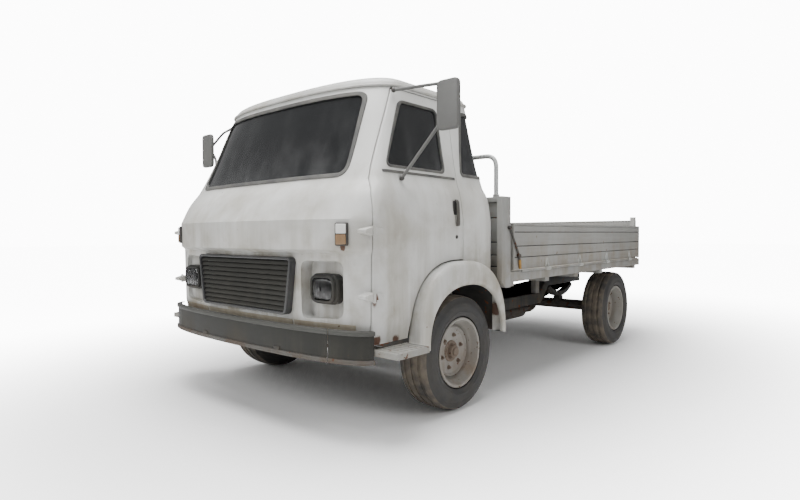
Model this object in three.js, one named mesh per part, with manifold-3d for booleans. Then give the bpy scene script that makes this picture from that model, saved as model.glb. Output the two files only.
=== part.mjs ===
// Dropside flatbed cab-over light truck, as an assembly of separate named parts.
// Millimetres, +Z up. The truck faces -Y, its left side is +X and it stands on z = 0.
import * as THREE from 'three';
import { mergeVertices } from 'three/addons/utils/BufferGeometryUtils.js';
import Module from 'manifold-3d';

const wasm = await Module();
wasm.setup();

// ---------- driving dimensions ----------
const wheelbase = 2726;
const bumperAhead = 970;           // front axle to the bumper's front face
const tailBehind = 591;            // rear axle to the rearmost hinge barrel
const noseAhead = 993;             // front axle to the cab's foremost skin
const cabRearBehind = 437;         // front axle to the cab's rear wall
const cabHalfWidth = 1003;
const bedHalfWidth = 1065;
const clearance = 0.4;             // gap between pieces that touch
const panelThickness = 4;
const glassThickness = 5;
const glassInset = 8;              // glass outer face below the painted skin

const tyreRadius = 369;
const tyreWidth = 254;
const wheelCentreX = 904;          // middle of each tyre from the truck's centre plane
const flangeRadius = 222;
const beadRadius = 204;
const rimHalfWidth = 105;
const stubRadius = 22;
const boreClearance = 1;
const kingpinX = 760;

const railCentreX = 390;
const railWidth = 60;
const railBottom = 415;
const railDepth = 105;
const railKick = 165;              // how far the rail rises over the rear axle
const bearerBottom = 745;
const deckTop = 850;
const deckThickness = 25;
const dropsideHeight = 342;
const dropsideThickness = 30;
const headboardTop = 1375;
const postTop = 1290;
const tailgateTop = 1258;
const hoopTop = 1665;
const hoopTube = 16;

const roofBase = 1992;
const gutterLip = 14;
const doorGap = 4;
const doorDepth = 30;
const doorBottom = 524;
const doorTop = 1978;
const beltHeight = 1419;
const floorTop = 560;
const platformTop = 975;
const archBase = 450;

// ---------- derived places ----------
const overallLength = noseAhead + wheelbase + tailBehind;
const frontAxleY = -overallLength / 2 + noseAhead;
const rearAxleY = frontAxleY + wheelbase;
const noseY = frontAxleY - noseAhead;
const cabRearY = frontAxleY + cabRearBehind;
const railTop = railBottom + railDepth;
const headboardY = cabRearY + 30;            // front face of the headboard's boards
const deckFrontY = headboardY + 62;
const tailFaceY = rearAxleY + tailBehind - 20;
const tailgateThickness = 32;
const deckRearY = tailFaceY - tailgateThickness - clearance;
const dropsideBottom = deckTop + 10;
const dropsideHingeX = bedHalfWidth + 10;
const dropsideHingeZ = deckTop + 3;

// Cab skin by height: in from the side, back from the nose, depth of the rounded
// front, squareness of its corners and how far the rear wall leans in.
const cabLevels = [
  { z: 500, side: 28, nose: 125, depth: 135, square: 2.1, rear: 0 },
  { z: 640, side: 7, nose: 86, depth: 166, square: 2.1, rear: 0 },
  { z: 1012, side: 4, nose: 78, depth: 172, square: 2.1, rear: 0 },
  { z: 1036, side: 3, nose: 2, depth: 248, square: 2.0, rear: 0 },
  { z: 1200, side: 3, nose: 0, depth: 250, square: 2.0, rear: 0 },
  { z: 1330, side: 21, nose: 92, depth: 225, square: 2.3, rear: 4 },
  { z: 1385, side: 36, nose: 150, depth: 210, square: 2.6, rear: 14 },
  { z: 1425, side: 53, nose: 195, depth: 200, square: 3.0, rear: 28 },
  { z: roofBase, side: 173, nose: 388, depth: 300, square: 2.6, rear: 72 },
];
const rearCornerRadius = 90;
const roundSteps = 16;
const cornerSteps = 4;

// ---------- solids ----------
function solid(geometry) {
  const bare = geometry.index ? geometry : geometry.clone();
  for (const name of ['normal', 'uv', 'uv1']) bare.deleteAttribute(name);
  const merged = mergeVertices(bare, 1e-4);
  const mesh = new wasm.Mesh({
    numProp: 3,
    vertProperties: new Float32Array(merged.attributes.position.array),
    triVerts: new Uint32Array(merged.index.array),
  });
  return new wasm.Manifold(mesh);
}

function union(...pieces) {
  return pieces.flat().reduce((sum, piece) => sum.add(piece));
}

// A box from its low and high corners.
function box(low, high) {
  const size = high.map((value, i) => value - low[i]);
  const geometry = new THREE.BoxGeometry(...size);
  geometry.translate(...low.map((value, i) => (value + high[i]) / 2));
  return solid(geometry);
}

// A cylinder along X, Y or Z between two places on that axis.
function rod(axis, radius, from, to, centre, sides = 20) {
  const geometry = new THREE.CylinderGeometry(radius, radius, to - from, sides);
  if (axis === 'x') geometry.rotateZ(-Math.PI / 2);
  if (axis === 'z') geometry.rotateX(Math.PI / 2);
  const middle = (from + to) / 2;
  if (axis === 'x') geometry.translate(middle, centre[0], centre[1]);
  if (axis === 'y') geometry.translate(centre[0], middle, centre[1]);
  if (axis === 'z') geometry.translate(centre[0], centre[1], middle);
  return solid(geometry);
}

// An outline drawn as [y, z] points, extruded along X.
function sidePrism(points, fromX, toX) {
  const shape = new THREE.Shape(points.map(([y, z]) => new THREE.Vector2(y, z)));
  const geometry = new THREE.ExtrudeGeometry(shape, { depth: toX - fromX, bevelEnabled: false });
  geometry.applyMatrix4(new THREE.Matrix4().makeBasis(
    new THREE.Vector3(0, 1, 0), new THREE.Vector3(0, 0, 1), new THREE.Vector3(1, 0, 0)));
  geometry.translate(fromX, 0, 0);
  return solid(geometry);
}

// An outline drawn as [x, z] points, extruded along Y.
function frontPrism(points, fromY, toY) {
  const shape = new THREE.Shape(points.map(([x, z]) => new THREE.Vector2(x, z)));
  const geometry = new THREE.ExtrudeGeometry(shape, { depth: toY - fromY, bevelEnabled: false });
  geometry.rotateX(Math.PI / 2);
  geometry.translate(0, toY, 0);
  return solid(geometry);
}

// A four-sided outline with rounded corners, from its corner points.
function rounded(corners, radius, steps = 3) {
  const points = [];
  corners.forEach(([x, y], i) => {
    const [px, py] = corners[(i + corners.length - 1) % corners.length];
    const [nx, ny] = corners[(i + 1) % corners.length];
    const backLength = Math.hypot(px - x, py - y);
    const nextLength = Math.hypot(nx - x, ny - y);
    const start = [x + (px - x) * radius / backLength, y + (py - y) * radius / backLength];
    const end = [x + (nx - x) * radius / nextLength, y + (ny - y) * radius / nextLength];
    for (let s = 0; s <= steps; s += 1) {
      const t = s / steps;
      const a = (1 - t) * (1 - t);
      const b = 2 * t * (1 - t);
      const c = t * t;
      points.push([a * start[0] + b * x + c * end[0], a * start[1] + b * y + c * end[1]]);
    }
  });
  return points;
}

// A closed solid through a stack of convex rings with the same number of points.
function stack(rings) {
  const count = rings[0].length;
  const positions = rings.flat(2);
  const index = [];
  for (let r = 0; r + 1 < rings.length; r += 1) {
    for (let i = 0; i < count; i += 1) {
      const j = (i + 1) % count;
      index.push(r * count + i, r * count + j, (r + 1) * count + j);
      index.push(r * count + i, (r + 1) * count + j, (r + 1) * count + i);
    }
  }
  const last = (rings.length - 1) * count;
  for (let i = 1; i + 1 < count; i += 1) {
    index.push(0, i + 1, i);
    index.push(last, last + i, last + i + 1);
  }
  const geometry = new THREE.BufferGeometry();
  geometry.setAttribute('position', new THREE.Float32BufferAttribute(positions, 3));
  geometry.setIndex(index);
  return solid(geometry);
}

// Closed profile of [radius, x] points turned about the X axis.
function turned(profile, sides) {
  const points = profile.map(([r, x]) => new THREE.Vector2(r, x));
  if (profile[0][0] !== 0) points.push(points[0].clone());
  if (THREE.ShapeUtils.area(points) < 0) points.reverse();
  return solid(new THREE.LatheGeometry(points, sides).rotateZ(-Math.PI / 2));
}

function geometryOf(piece) {
  const raw = piece.getMesh();
  const geometry = new THREE.BufferGeometry();
  geometry.setAttribute('position', new THREE.BufferAttribute(raw.vertProperties, 3));
  geometry.setIndex(new THREE.BufferAttribute(raw.triVerts, 1));
  return geometry;
}

// The same piece on the other side of the truck.
function mirrored(piece) {
  const geometry = geometryOf(piece);
  geometry.scale(-1, 1, 1);
  const index = geometry.index.array;
  for (let i = 0; i < index.length; i += 3) {
    [index[i], index[i + 1]] = [index[i + 1], index[i]];
  }
  return solid(geometry);
}

// ---------- materials ----------
function paint(color, roughness = 0.6, metalness = 0.1) {
  return { color, roughness, metalness };
}
const looks = {
  cab: paint('#c9c8c1', 0.5),
  bed: paint('#a3a29c', 0.7),
  bumper: paint('#55554f', 0.6),
  grille: paint('#4b4b46', 0.6),
  chassis: paint('#3c3c3a', 0.7, 0.3),
  iron: paint('#4a4744', 0.8, 0.5),
  steel: paint('#8b8c8a', 0.5, 0.7),
  wheel: paint('#8a8378', 0.7, 0.2),
  tyre: paint('#3a3836', 0.95, 0),
  glass: paint('#20262b', 0.1, 0),
  lamp: paint('#dfe3e6', 0.1, 0),
  trim: paint('#2c2c2b', 0.8, 0),
  seat: paint('#4a3f36', 0.9, 0),
};

const truck = new THREE.Group();

function addPart(name, piece, look, place = [0, 0, 0], turn = 0) {
  const geometry = geometryOf(piece);
  geometry.computeVertexNormals();
  const mesh = new THREE.Mesh(geometry, new THREE.MeshStandardMaterial(looks[look]));
  mesh.name = name;
  mesh.position.set(...place);
  mesh.rotation.z = turn;
  truck.add(mesh);
}

function addPair(name, leftPiece, look) {
  addPart(`${name}_left`, leftPiece, look);
  addPart(`${name}_right`, mirrored(leftPiece), look);
}

// ---------- cab skin ----------
// One ring of the cab's outline, inset from the painted surface.
function cabRing(level, inset, z = level.z) {
  const halfWidth = cabHalfWidth - level.side - inset;
  const shoulderY = noseY + level.nose + level.depth;
  const depth = level.depth - inset;
  const rearY = cabRearY - level.rear - inset;
  const radius = rearCornerRadius - inset;
  const ring = [];
  for (let i = 0; i <= roundSteps; i += 1) {
    const angle = Math.PI * (i / roundSteps - 0.5);
    const across = Math.sin(angle);
    const x = halfWidth * Math.sign(across) * Math.abs(across) ** (2 / level.square);
    const y = shoulderY - depth * Math.cos(angle) ** (2 / level.square);
    ring.push([x, y, z]);
  }
  for (const side of [1, -1]) {
    for (let i = 0; i <= cornerSteps; i += 1) {
      const turn = (Math.PI / 2) * (i / cornerSteps);
      const along = side > 0 ? turn : Math.PI / 2 - turn;
      const x = side * (halfWidth - radius + radius * Math.cos(along));
      ring.push([x, rearY - radius + radius * Math.sin(along), z]);
    }
  }
  return ring;
}

function cabSolid(inset, extend = 0) {
  const rings = cabLevels.map((level) => cabRing(level, inset));
  if (extend > 0) {
    rings.unshift(cabRing(cabLevels[0], inset, cabLevels[0].z - extend));
    rings.push(cabRing(cabLevels[cabLevels.length - 1], inset, roofBase + extend));
  }
  return stack(rings);
}

function cabShell(outerInset, innerInset) {
  return cabSolid(outerInset).subtract(cabSolid(innerInset, 20));
}

const skin = cabShell(0, panelThickness);
const deepShell = cabShell(0, doorDepth);
const glassShell = cabShell(glassInset, glassInset + glassThickness);
const reach = cabHalfWidth + 200;

// ---------- outlines on the cab's side, as [y, z] ----------
const archOuter = { centre: -8, half: 470, top: 950, square: 2.5 };
const archInner = { centre: 27, half: 402, top: 798, square: 2.3 };
const archSteps = 16;

function archPoints(arch, grow) {
  const points = [];
  for (let i = 0; i <= archSteps; i += 1) {
    const angle = Math.PI * (i / archSteps);
    const power = 2 / arch.square;
    const along = Math.cos(angle);
    const y = (arch.half + grow) * Math.sign(along) * Math.abs(along) ** power;
    const z = (arch.top - archBase + grow) * Math.sin(angle) ** power;
    points.push([frontAxleY + arch.centre + y, archBase + z]);
  }
  return points;
}

function archPrism(arch, grow, fromX, toX) {
  const points = archPoints(arch, grow);
  const low = archBase - (grow > 0 ? 0 : 20);
  return sidePrism([[points[archSteps][0], low], ...points.slice().reverse().slice(1, -1),
    [points[0][0], low]], fromX, toX);
}

const doorFrontY = frontAxleY - 778;
const doorRearY = frontAxleY + 45;
const pillarFootY = frontAxleY - 711;
const pillarTopY = frontAxleY - 430;
const doorRearLean = 50;           // how far the rear edge leans back towards the roof
const pillarSlant = 1.14;          // sideways share of a gap along the sloping pillar

function doorPrism(inset) {
  const outline = [
    [doorFrontY + inset, doorBottom + inset],
    [doorRearY - inset, doorBottom + inset],
    [doorRearY - inset, 1335],
    [doorRearY + doorRearLean - inset, doorTop - inset],
    [pillarTopY + inset * pillarSlant, doorTop - inset],
    [pillarFootY + inset * pillarSlant, beltHeight],
    [doorFrontY + 30 + inset, 1330],
    [doorFrontY + inset, 1200],
  ];
  return sidePrism(outline, 600, reach).subtract(pillarBlock())
    .subtract(archPrism(archOuter, inset + doorGap, 590, reach + 10));
}

// The space of the windscreen pillar, which no part of a door reaches into.
function pillarBlock() {
  const outline = [[0, 450], [800, 450], [800, 1450], [768, 1960], [768, roofBase + 20], [0, roofBase + 20]];
  return frontPrism(outline, noseY - 50, pillarTopY + 120);
}

function doorWindowPrism(grow) {
  const corners = [
    [frontAxleY - 605 - grow * pillarSlant, 1497 - grow],
    [frontAxleY - 58 + grow, 1497 - grow],
    [frontAxleY - 42 + grow, 1908 + grow],
    [frontAxleY - 402 - grow * pillarSlant, 1908 + grow],
  ];
  return sidePrism(rounded(corners, 38), 600, reach);
}

function quarterWindow(grow) {
  const behind = cabRearY + 50;
  const corners = [[frontAxleY + 112 - grow, 1497 - grow], [behind, 1497 - grow],
    [behind, 1932 + grow], [frontAxleY + 222 - grow, 1932 + grow]];
  return sidePrism(rounded(corners, 34), 782 - grow, reach);
}

// ---------- cab ----------
function windscreenPrism(grow) {
  const corners = [
    [-(752 + grow), 1448 - grow],
    [752 + grow, 1448 - grow],
    [713 + grow, 1955 + grow],
    [-(713 + grow), 1955 + grow],
  ];
  return frontPrism(rounded(corners, 55), noseY - 50, frontAxleY - 150);
}

function rearWindowPrism(grow) {
  const corners = [[-(480 + grow), 1470 - grow], [480 + grow, 1470 - grow],
    [480 + grow, 1850 + grow], [-(480 + grow), 1850 + grow]];
  return frontPrism(rounded(corners, 50), cabRearY - 200, cabRearY + 50);
}

const grilleTopHalf = 500;
const grilleBottomHalf = 450;
const grilleTop = 990;
const grilleBottom = 660;
const grilleFrontY = noseY + 57;
const grilleDepth = 62;

function grillePoints(grow) {
  const corners = [[-(grilleBottomHalf + grow), grilleBottom - grow],
    [grilleBottomHalf + grow, grilleBottom - grow],
    [grilleTopHalf + grow, grilleTop + grow], [-(grilleTopHalf + grow), grilleTop + grow]];
  return rounded(corners, 30);
}

const lampX = 700;
const lampZ = 820;
const recessFloorY = noseY + 185;

function recessPoints(grow) {
  const corners = [[535 - grow, 645 - grow], [830 + grow, 665 - grow],
    [830 + grow, 975 + grow], [535 - grow, 972 + grow]];
  return rounded(corners, 35);
}

function lampPoints(halfWidth, halfHeight) {
  const corners = [[lampX - halfWidth, lampZ - halfHeight], [lampX + halfWidth, lampZ - halfHeight],
    [lampX + halfWidth, lampZ + halfHeight], [lampX - halfWidth, lampZ + halfHeight]];
  return rounded(corners, 40);
}

const hingeAxisX = cabHalfWidth + 12;
const hingeAxisY = doorFrontY - 12;
const doorHingeHeights = [790, 1135];

function hingeArm(height) {
  const arm = [[-52, -11], [0, -22], [0, 22], [-52, 11]];
  const knuckle = rod('z', 8, height - 26, height + 26, [hingeAxisX, hingeAxisY], 12);
  const points = arm.map(([y, z]) => [hingeAxisY + y, height + z]);
  const plate = sidePrism(points, cabHalfWidth - 60, hingeAxisX - 2);
  return union(knuckle, plate);
}

function frontPanel() {
  const edge = 1;
  const ahead = sidePrism([
    [noseY - 50, 510], [doorFrontY - edge, 510], [doorFrontY - edge, 1200],
    [doorFrontY + 30 - edge, 1330], [pillarFootY - edge, beltHeight],
    [pillarTopY - edge, doorTop], [pillarTopY + 14, roofBase - clearance],
    [noseY - 50, roofBase - clearance]], -reach, reach);
  let panel = skin.intersect(ahead);
  const frame = cabShell(0, 20).intersect(windscreenPrism(3)).subtract(windscreenPrism(0));
  panel = panel.subtract(windscreenPrism(0)).add(frame);
  for (const flip of [false, true]) {
    const turn = (piece) => (flip ? mirrored(piece) : piece);
    const outer = frontPrism(recessPoints(panelThickness), noseY, recessFloorY + panelThickness);
    const tray = outer.intersect(cabSolid(1));
    const hollow = frontPrism(recessPoints(0), noseY - 50, recessFloorY);
    panel = panel.add(turn(tray)).subtract(turn(hollow));
    for (const height of doorHingeHeights) {
      panel = panel.add(turn(hingeArm(height).subtract(cabSolid(1))));
    }
  }
  return panel.subtract(frontPrism(grillePoints(clearance), noseY - 50, noseY + 150));
}

function grille() {
  const bar = 20;
  const outer = frontPrism(grillePoints(0), grilleFrontY, grilleFrontY + grilleDepth);
  const inner = frontPrism(grillePoints(-bar), grilleFrontY - 10, grilleFrontY + grilleDepth + 10);
  const slatCount = 10;
  const pitch = (grilleTop - grilleBottom - 2 * bar) / slatCount;
  const slats = [];
  for (let i = 0; i < slatCount; i += 1) {
    const z = grilleBottom + bar + pitch * (i + 0.5);
    const share = (z - grilleBottom) / (grilleTop - grilleBottom);
    const half = grilleBottomHalf + (grilleTopHalf - grilleBottomHalf) * share - 8;
    slats.push(box([-half, grilleFrontY + 8, z - 9], [half, grilleFrontY + 34, z + 5]));
  }
  return outer.subtract(inner).add(union(slats));
}

function headlamp() {
  const front = noseY + 107;
  const housing = frontPrism(lampPoints(106, 84), front + 22, recessFloorY - clearance);
  const bezel = frontPrism(lampPoints(94, 74), front + 8, front + 23);
  const lens = frontPrism(lampPoints(80, 60), front, front + 9);
  return union(housing, bezel, lens);
}

function roof() {
  const top = cabLevels[cabLevels.length - 1];
  const crown = [
    { rise: 0, inset: -gutterLip }, { rise: 12, inset: -gutterLip }, { rise: 15, inset: 4 },
    { rise: 42, inset: 30 }, { rise: 68, inset: 85 }, { rise: 86, inset: 180 },
    { rise: 96, inset: 320 },
  ];
  const ringAt = ({ rise, inset }) => {
    const ring = cabRing(top, Math.min(inset, 60), roofBase + rise);
    const middleY = (noseY + top.nose + cabRearY - top.rear) / 2;
    const halfX = cabHalfWidth - top.side;
    const share = 1 - Math.max(0, inset - 60) / halfX;
    return ring.map(([x, y, z]) => [x * share, middleY + (y - middleY) * share, z]);
  };
  const outer = stack(crown.map(ringAt));
  const inside = crown.slice(2).map(({ rise, inset }) => ({
    rise: rise - 5, inset: inset + panelThickness }));
  const low = { rise: -10, inset: panelThickness + 2 };
  return outer.subtract(stack([low, ...inside].map(ringAt)));
}

const sideSplitX = 740;

function cabSide() {
  const region = box([sideSplitX, doorRearY, 552], [reach, cabRearY + 50, roofBase - clearance]);
  const cantrailLow = doorTop;
  const doorHole = doorPrism(0);
  const side = skin.intersect(region).subtract(quarterWindow(0)).subtract(doorHole);
  const header = skin.intersect(box([600, pillarTopY + 16, cantrailLow],
    [reach, doorRearY + 5, roofBase - clearance]));
  const rim = cabShell(0, 20).intersect(quarterWindow(3)).subtract(quarterWindow(0))
    .intersect(region);
  const outerX = bedHalfWidth + 5;
  const innerX = 600;
  const wall = archPrism(archOuter, 0, innerX, outerX)
    .subtract(archPrism(archOuter, -panelThickness, innerX - 5, outerX - panelThickness));
  const face = wall.subtract(archPrism(archInner, 0, innerX - 10, outerX + 10));
  const lip = archPrism(archInner, panelThickness, outerX - 25, outerX)
    .subtract(archPrism(archInner, 0, outerX - 30, outerX + 5));
  const flare = union(face, lip).subtract(box([0, frontAxleY - 900, 0],
    [reach + 50, frontAxleY + 900, archBase + 0.5]));
  const behindCab = box([500, cabRearY - 14, 0], [cabHalfWidth, cabRearY + 200, roofBase]);
  const wheelSpace = archPrism(archOuter, -panelThickness, 500, outerX - panelThickness - 0.5);
  return union(side.subtract(wheelSpace), header, rim, flare.subtract(behindCab));
}

function rearWall() {
  const region = box([-sideSplitX + clearance, cabRearY - 200, 552],
    [sideSplitX - clearance, cabRearY + 50, roofBase - clearance]);
  const rim = cabShell(0, 20).intersect(rearWindowPrism(3)).subtract(rearWindowPrism(0));
  return skin.intersect(region).subtract(rearWindowPrism(0)).add(rim.intersect(region));
}

function cabFloor() {
  const half = 880;
  const sheet = panelThickness;
  const riserY = frontAxleY - 496;
  const rearY = cabRearY - panelThickness - clearance - 12;
  const footwell = box([-half, frontAxleY - 820, floorTop - sheet], [half, riserY + sheet, floorTop]);
  const riser = box([-half, riserY, floorTop - sheet], [half, riserY + sheet, platformTop]);
  const platform = box([-half, riserY, platformTop - sheet], [half, rearY, platformTop]);
  const feet = [-railCentreX, railCentreX].map((x) => box(
    [x - 25, riserY - 200, railTop + clearance], [x + 25, riserY - 120, floorTop - 1]));
  const room = cabSolid(panelThickness + 6, 10);
  return union(footwell, riser, platform).intersect(room).add(union(feet));
}

function dashboard() {
  const block = box([-890, noseY, 1130], [890, frontAxleY - 545, 1370]);
  const hollow = box([-870, noseY, 1110], [870, frontAxleY - 570, 1345]);
  const room = cabSolid(doorDepth + 15);
  return block.subtract(hollow).intersect(room);
}

const columnX = 420;
const wheelHubY = frontAxleY - 363;
const wheelHubZ = 1362;
const columnLean = 0.452;          // angle of the column from upright, radians

function steeringWheel() {
  const place = (geometry) => solid(geometry.rotateX(-columnLean)
    .translate(columnX, wheelHubY, wheelHubZ));
  const ring = new THREE.TorusGeometry(205, 14, 6, 24);
  const hub = new THREE.CylinderGeometry(42, 42, 40, 12).rotateX(Math.PI / 2);
  const column = new THREE.CylinderGeometry(18, 18, 830, 10).rotateX(Math.PI / 2);
  const spokes = [0, 1, 2].map((i) => {
    const spoke = new THREE.BoxGeometry(195, 26, 10).translate(97, 0, 0);
    return place(spoke.rotateZ(Math.PI / 2 + i * 2 * Math.PI / 3));
  });
  return union(place(ring), place(hub), place(column.translate(0, 0, -425)), spokes);
}

function seatCushion() {
  const points = rounded([[frontAxleY - 400, platformTop + 2], [frontAxleY + 110, platformTop + 2],
    [frontAxleY + 110, platformTop + 130], [frontAxleY - 400, platformTop + 150]], 40);
  return sidePrism(points, -820, 820);
}

function seatBack() {
  const points = rounded([[frontAxleY + 118, platformTop + 60], [frontAxleY + 238, platformTop + 60],
    [frontAxleY + 300, platformTop + 640], [frontAxleY + 190, platformTop + 640]], 40);
  return sidePrism(points, -820, 820);
}

// ---------- doors ----------
function door() {
  const opening = doorWindowPrism(0);
  const panel = skin.intersect(doorPrism(doorGap)).subtract(opening);
  const edgeInset = doorGap + 10;
  const edge = deepShell.intersect(doorPrism(edgeInset).subtract(doorPrism(edgeInset + 4)));
  const frame = deepShell.intersect(doorWindowPrism(4)).subtract(opening);
  return union(panel, edge, frame);
}

const handleY = doorRearY - 76;

function doorHandle() {
  const points = [[1006, 1168], [1022, 1172], [1014, 1318], [1000, 1334], [992, 1334]];
  return frontPrism(points, handleY - 13, handleY + 13);
}

// ---------- mirrors ----------
const mirrorTop = [842, frontAxleY - 440, 1960];
const mirrorFoot = [962, frontAxleY - 508, 1434];

function sweep(path, radius, steps, sides) {
  const section = new THREE.Shape();
  for (let i = 0; i < sides; i += 1) {
    const angle = 2 * Math.PI * i / sides;
    const point = [radius * Math.cos(angle), radius * Math.sin(angle)];
    if (i === 0) section.moveTo(...point);
    else section.lineTo(...point);
  }
  const geometry = new THREE.ExtrudeGeometry(section, { steps, extrudePath: path, bevelEnabled: false });
  return solid(geometry);
}

function straightTube(from, to, radius) {
  const start = new THREE.Vector3(...from);
  const end = new THREE.Vector3(...to);
  const path = new THREE.LineCurve3(start, end);
  return sweep(path, radius, 1, 8);
}

// The cab's outside as the mirror meets it once folded by an angle.
const mirrorFoldAngles = [-55, -36, -18, 0, 15, 30].map(THREE.MathUtils.degToRad);

function cabTurnedPast(angle) {
  const foot = new THREE.Vector3(...mirrorFoot);
  const axis = new THREE.Vector3(...mirrorTop).sub(foot).normalize();
  const turn = new THREE.Matrix4().makeTranslation(foot)
    .multiply(new THREE.Matrix4().makeRotationAxis(axis, angle))
    .multiply(new THREE.Matrix4().makeTranslation(foot.negate()));
  return solid(geometryOf(cabSolid(-1.5)).applyMatrix4(turn));
}

function mirrorArm() {
  const corner = [1162, frontAxleY - 340, 1967];
  const plateX = 1178;
  const low = [plateX, frontAxleY - 400, 1760];
  const joints = [corner, low].map((place) => {
    const ball = new THREE.OctahedronGeometry(13, 1);
    return solid(ball.translate(...place));
  });
  const feet = [mirrorTop, mirrorFoot].map((place) => {
    const pad = new THREE.OctahedronGeometry(17, 1);
    return solid(pad.translate(...place));
  });
  const head = frontPrism(rounded([[1160, 1680], [1306, 1680], [1306, 1952], [1160, 1952]], 30),
    frontAxleY - 452, frontAxleY - 420);
  const stem = straightTube(low, [1233, frontAxleY - 424, 1830], 8);
  const arms = union(straightTube(mirrorTop, corner, 9), straightTube(mirrorFoot, low, 9),
    straightTube(corner, [1233, frontAxleY - 424, 1830], 9), stem, joints, feet, head);
  return mirrorFoldAngles.reduce((rest, angle) => rest.subtract(cabTurnedPast(angle)), arms);
}

// ---------- front end ----------
const bumperBottom = 434;
const bumperTop = 612;

const bumperDepth = 200;
const bumperSquareness = 2.5;

function bumperRing(inset, z) {
  const halfWidth = 1022 - inset;
  const depth = bumperDepth;
  const front = frontAxleY - bumperAhead;
  const ring = [];
  for (let i = 0; i <= roundSteps; i += 1) {
    const angle = Math.PI * (i / roundSteps - 0.5);
    const across = Math.sin(angle);
    const x = halfWidth * Math.sign(across) * Math.abs(across) ** (2 / bumperSquareness);
    ring.push([x, front + depth - (depth - inset) * Math.cos(angle) ** (2 / bumperSquareness), z]);
  }
  ring[0][1] = front + depth;
  ring[roundSteps][1] = front + depth;
  return ring;
}

function frontBumper() {
  const lip = 22;
  const recess = 10;
  const rows = [[0, bumperBottom], [0, bumperBottom + lip], [recess, bumperBottom + lip + 4],
    [recess, bumperTop - lip - 4], [0, bumperTop - lip], [0, bumperTop]];
  const outer = stack(rows.map(([inset, z]) => bumperRing(inset, z)));
  const channel = stack([bumperBottom + 6, bumperTop - 6].map((z) => bumperRing(recess + 6, z)));
  const middle = stack([bumperBottom - 10, bumperTop + 10].map((z) => bumperRing(42, z)));
  const ends = box([-reach, frontAxleY - bumperAhead + bumperDepth - 22, 0], [reach, 0, 3000]);
  const brackets = [-railCentreX, railCentreX].map((x) => box(
    [x - 25, frontAxleY - bumperAhead + 12, bumperBottom + 15],
    [x + 25, frontAxleY - 845, bumperBottom + 45]));
  return outer.subtract(channel).subtract(middle).subtract(ends).add(union(brackets));
}

function step() {
  const low = 478;
  const top = 512;
  const plate = box([1000, frontAxleY - 785, low], [1170, frontAxleY - 523, top]);
  const hollow = box([990, frontAxleY - 780, low - 5], [1165, frontAxleY - 528, top - 5]);
  const arm = box([railCentreX + railWidth / 2 + clearance, frontAxleY - 680, low],
    [1100, frontAxleY - 630, low + 12]);
  const web = box([1010, frontAxleY - 680, low], [1160, frontAxleY - 630, top - 2]);
  return union(plate.subtract(hollow), arm, web);
}

// ---------- chassis ----------
const railFrontY = frontAxleY - 840;

function frameRail() {
  const kickStart = rearAxleY - 450;
  const kickEnd = rearAxleY - 280;
  const points = [
    [railFrontY, railBottom], [kickStart, railBottom], [kickEnd, railBottom + railKick],
    [deckRearY - 30, railBottom + railKick], [deckRearY - 30, railTop + railKick - 20],
    [kickEnd - 30, railTop + railKick - 20], [kickStart - 30, railTop], [railFrontY, railTop]];
  const inner = railCentreX - railWidth / 2;
  const outer = railCentreX + railWidth / 2;
  const web = 6;
  const hollow = [
    [railFrontY - 10, railBottom + web], [kickStart - 2, railBottom + web],
    [kickEnd - 2, railBottom + railKick + web], [deckRearY, railBottom + railKick + web],
    [deckRearY, railTop + railKick - 20 - web], [kickEnd - 28, railTop + railKick - 20 - web],
    [kickStart - 28, railTop - web], [railFrontY - 10, railTop - web]];
  return sidePrism(points, inner, outer).subtract(sidePrism(hollow, inner - 5, outer - web));
}

function crossmember(y, bottom, top) {
  const half = railCentreX - railWidth / 2 - clearance;
  return box([-half, y - 30, bottom], [half, y + 30, top]);
}

function engine() {
  const block = box([-190, frontAxleY - 430, 470], [190, frontAxleY + 60, 900]);
  const sump = box([-130, frontAxleY - 400, 400], [130, frontAxleY - 80, 480]);
  const gearbox = rod('y', 110, frontAxleY + 50, frontAxleY + 420, [0, 545], 12);
  const head = box([-110, frontAxleY - 410, 890], [110, frontAxleY + 40, 945]);
  return union(block, sump, gearbox, head);
}

const propStart = frontAxleY + 421;
const propEnd = rearAxleY - 141;
const propFrontZ = 500;
const propRearZ = tyreRadius + 11;

function propshaft() {
  const start = [0, propStart + 12, propFrontZ];
  const end = [0, propEnd - 12, propRearZ];
  return straightTube(start, end, 34);
}

function fuelTank() {
  const points = rounded([[frontAxleY + 1200, 400], [frontAxleY + 1850, 400],
    [frontAxleY + 1850, 660], [frontAxleY + 1200, 660]], 40);
  const tank = sidePrism(points, -820, -railCentreX - railWidth / 2 - 20);
  const strap = box([-500, frontAxleY + 1300, 430], [-railCentreX - railWidth / 2 - clearance,
    frontAxleY + 1340, 500]);
  return union(tank, strap);
}

function exhaust() {
  const x = 250;
  const silencer = rod('y', 72, frontAxleY + 1500, frontAxleY + 2150, [x, 345], 16);
  const front = rod('y', 22, frontAxleY + 200, frontAxleY + 1510, [x, 345], 10);
  const outlet = rod('y', 22, frontAxleY + 2140, frontAxleY + 2320, [x, 345], 10);
  return union(silencer, front, outlet);
}

const springX = railCentreX + 5;
const springWidth = 60;

// A leaf pack bowed down from its two eyes to the axle.
function leafSpring(axleY, half, eyeZ, seatZ, thickness) {
  const steps = 10;
  const upper = [];
  const lower = [];
  for (let i = 0; i <= steps; i += 1) {
    const along = -1 + 2 * i / steps;
    const z = seatZ + (eyeZ - seatZ) * along * along;
    upper.push([axleY + half * along, z + thickness / 2]);
    lower.push([axleY + half * along, z - thickness / 2]);
  }
  const leaves = sidePrism([...lower, ...upper.reverse()], springX - springWidth / 2,
    springX + springWidth / 2);
  const eyes = [-1, 1].map((end) => rod('x', 24, springX - springWidth / 2,
    springX + springWidth / 2, [axleY + half * end, eyeZ], 12));
  return union(leaves, eyes);
}

const frontSpringSeat = tyreRadius - 65;
const rearSpringSeat = tyreRadius + 105;

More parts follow.
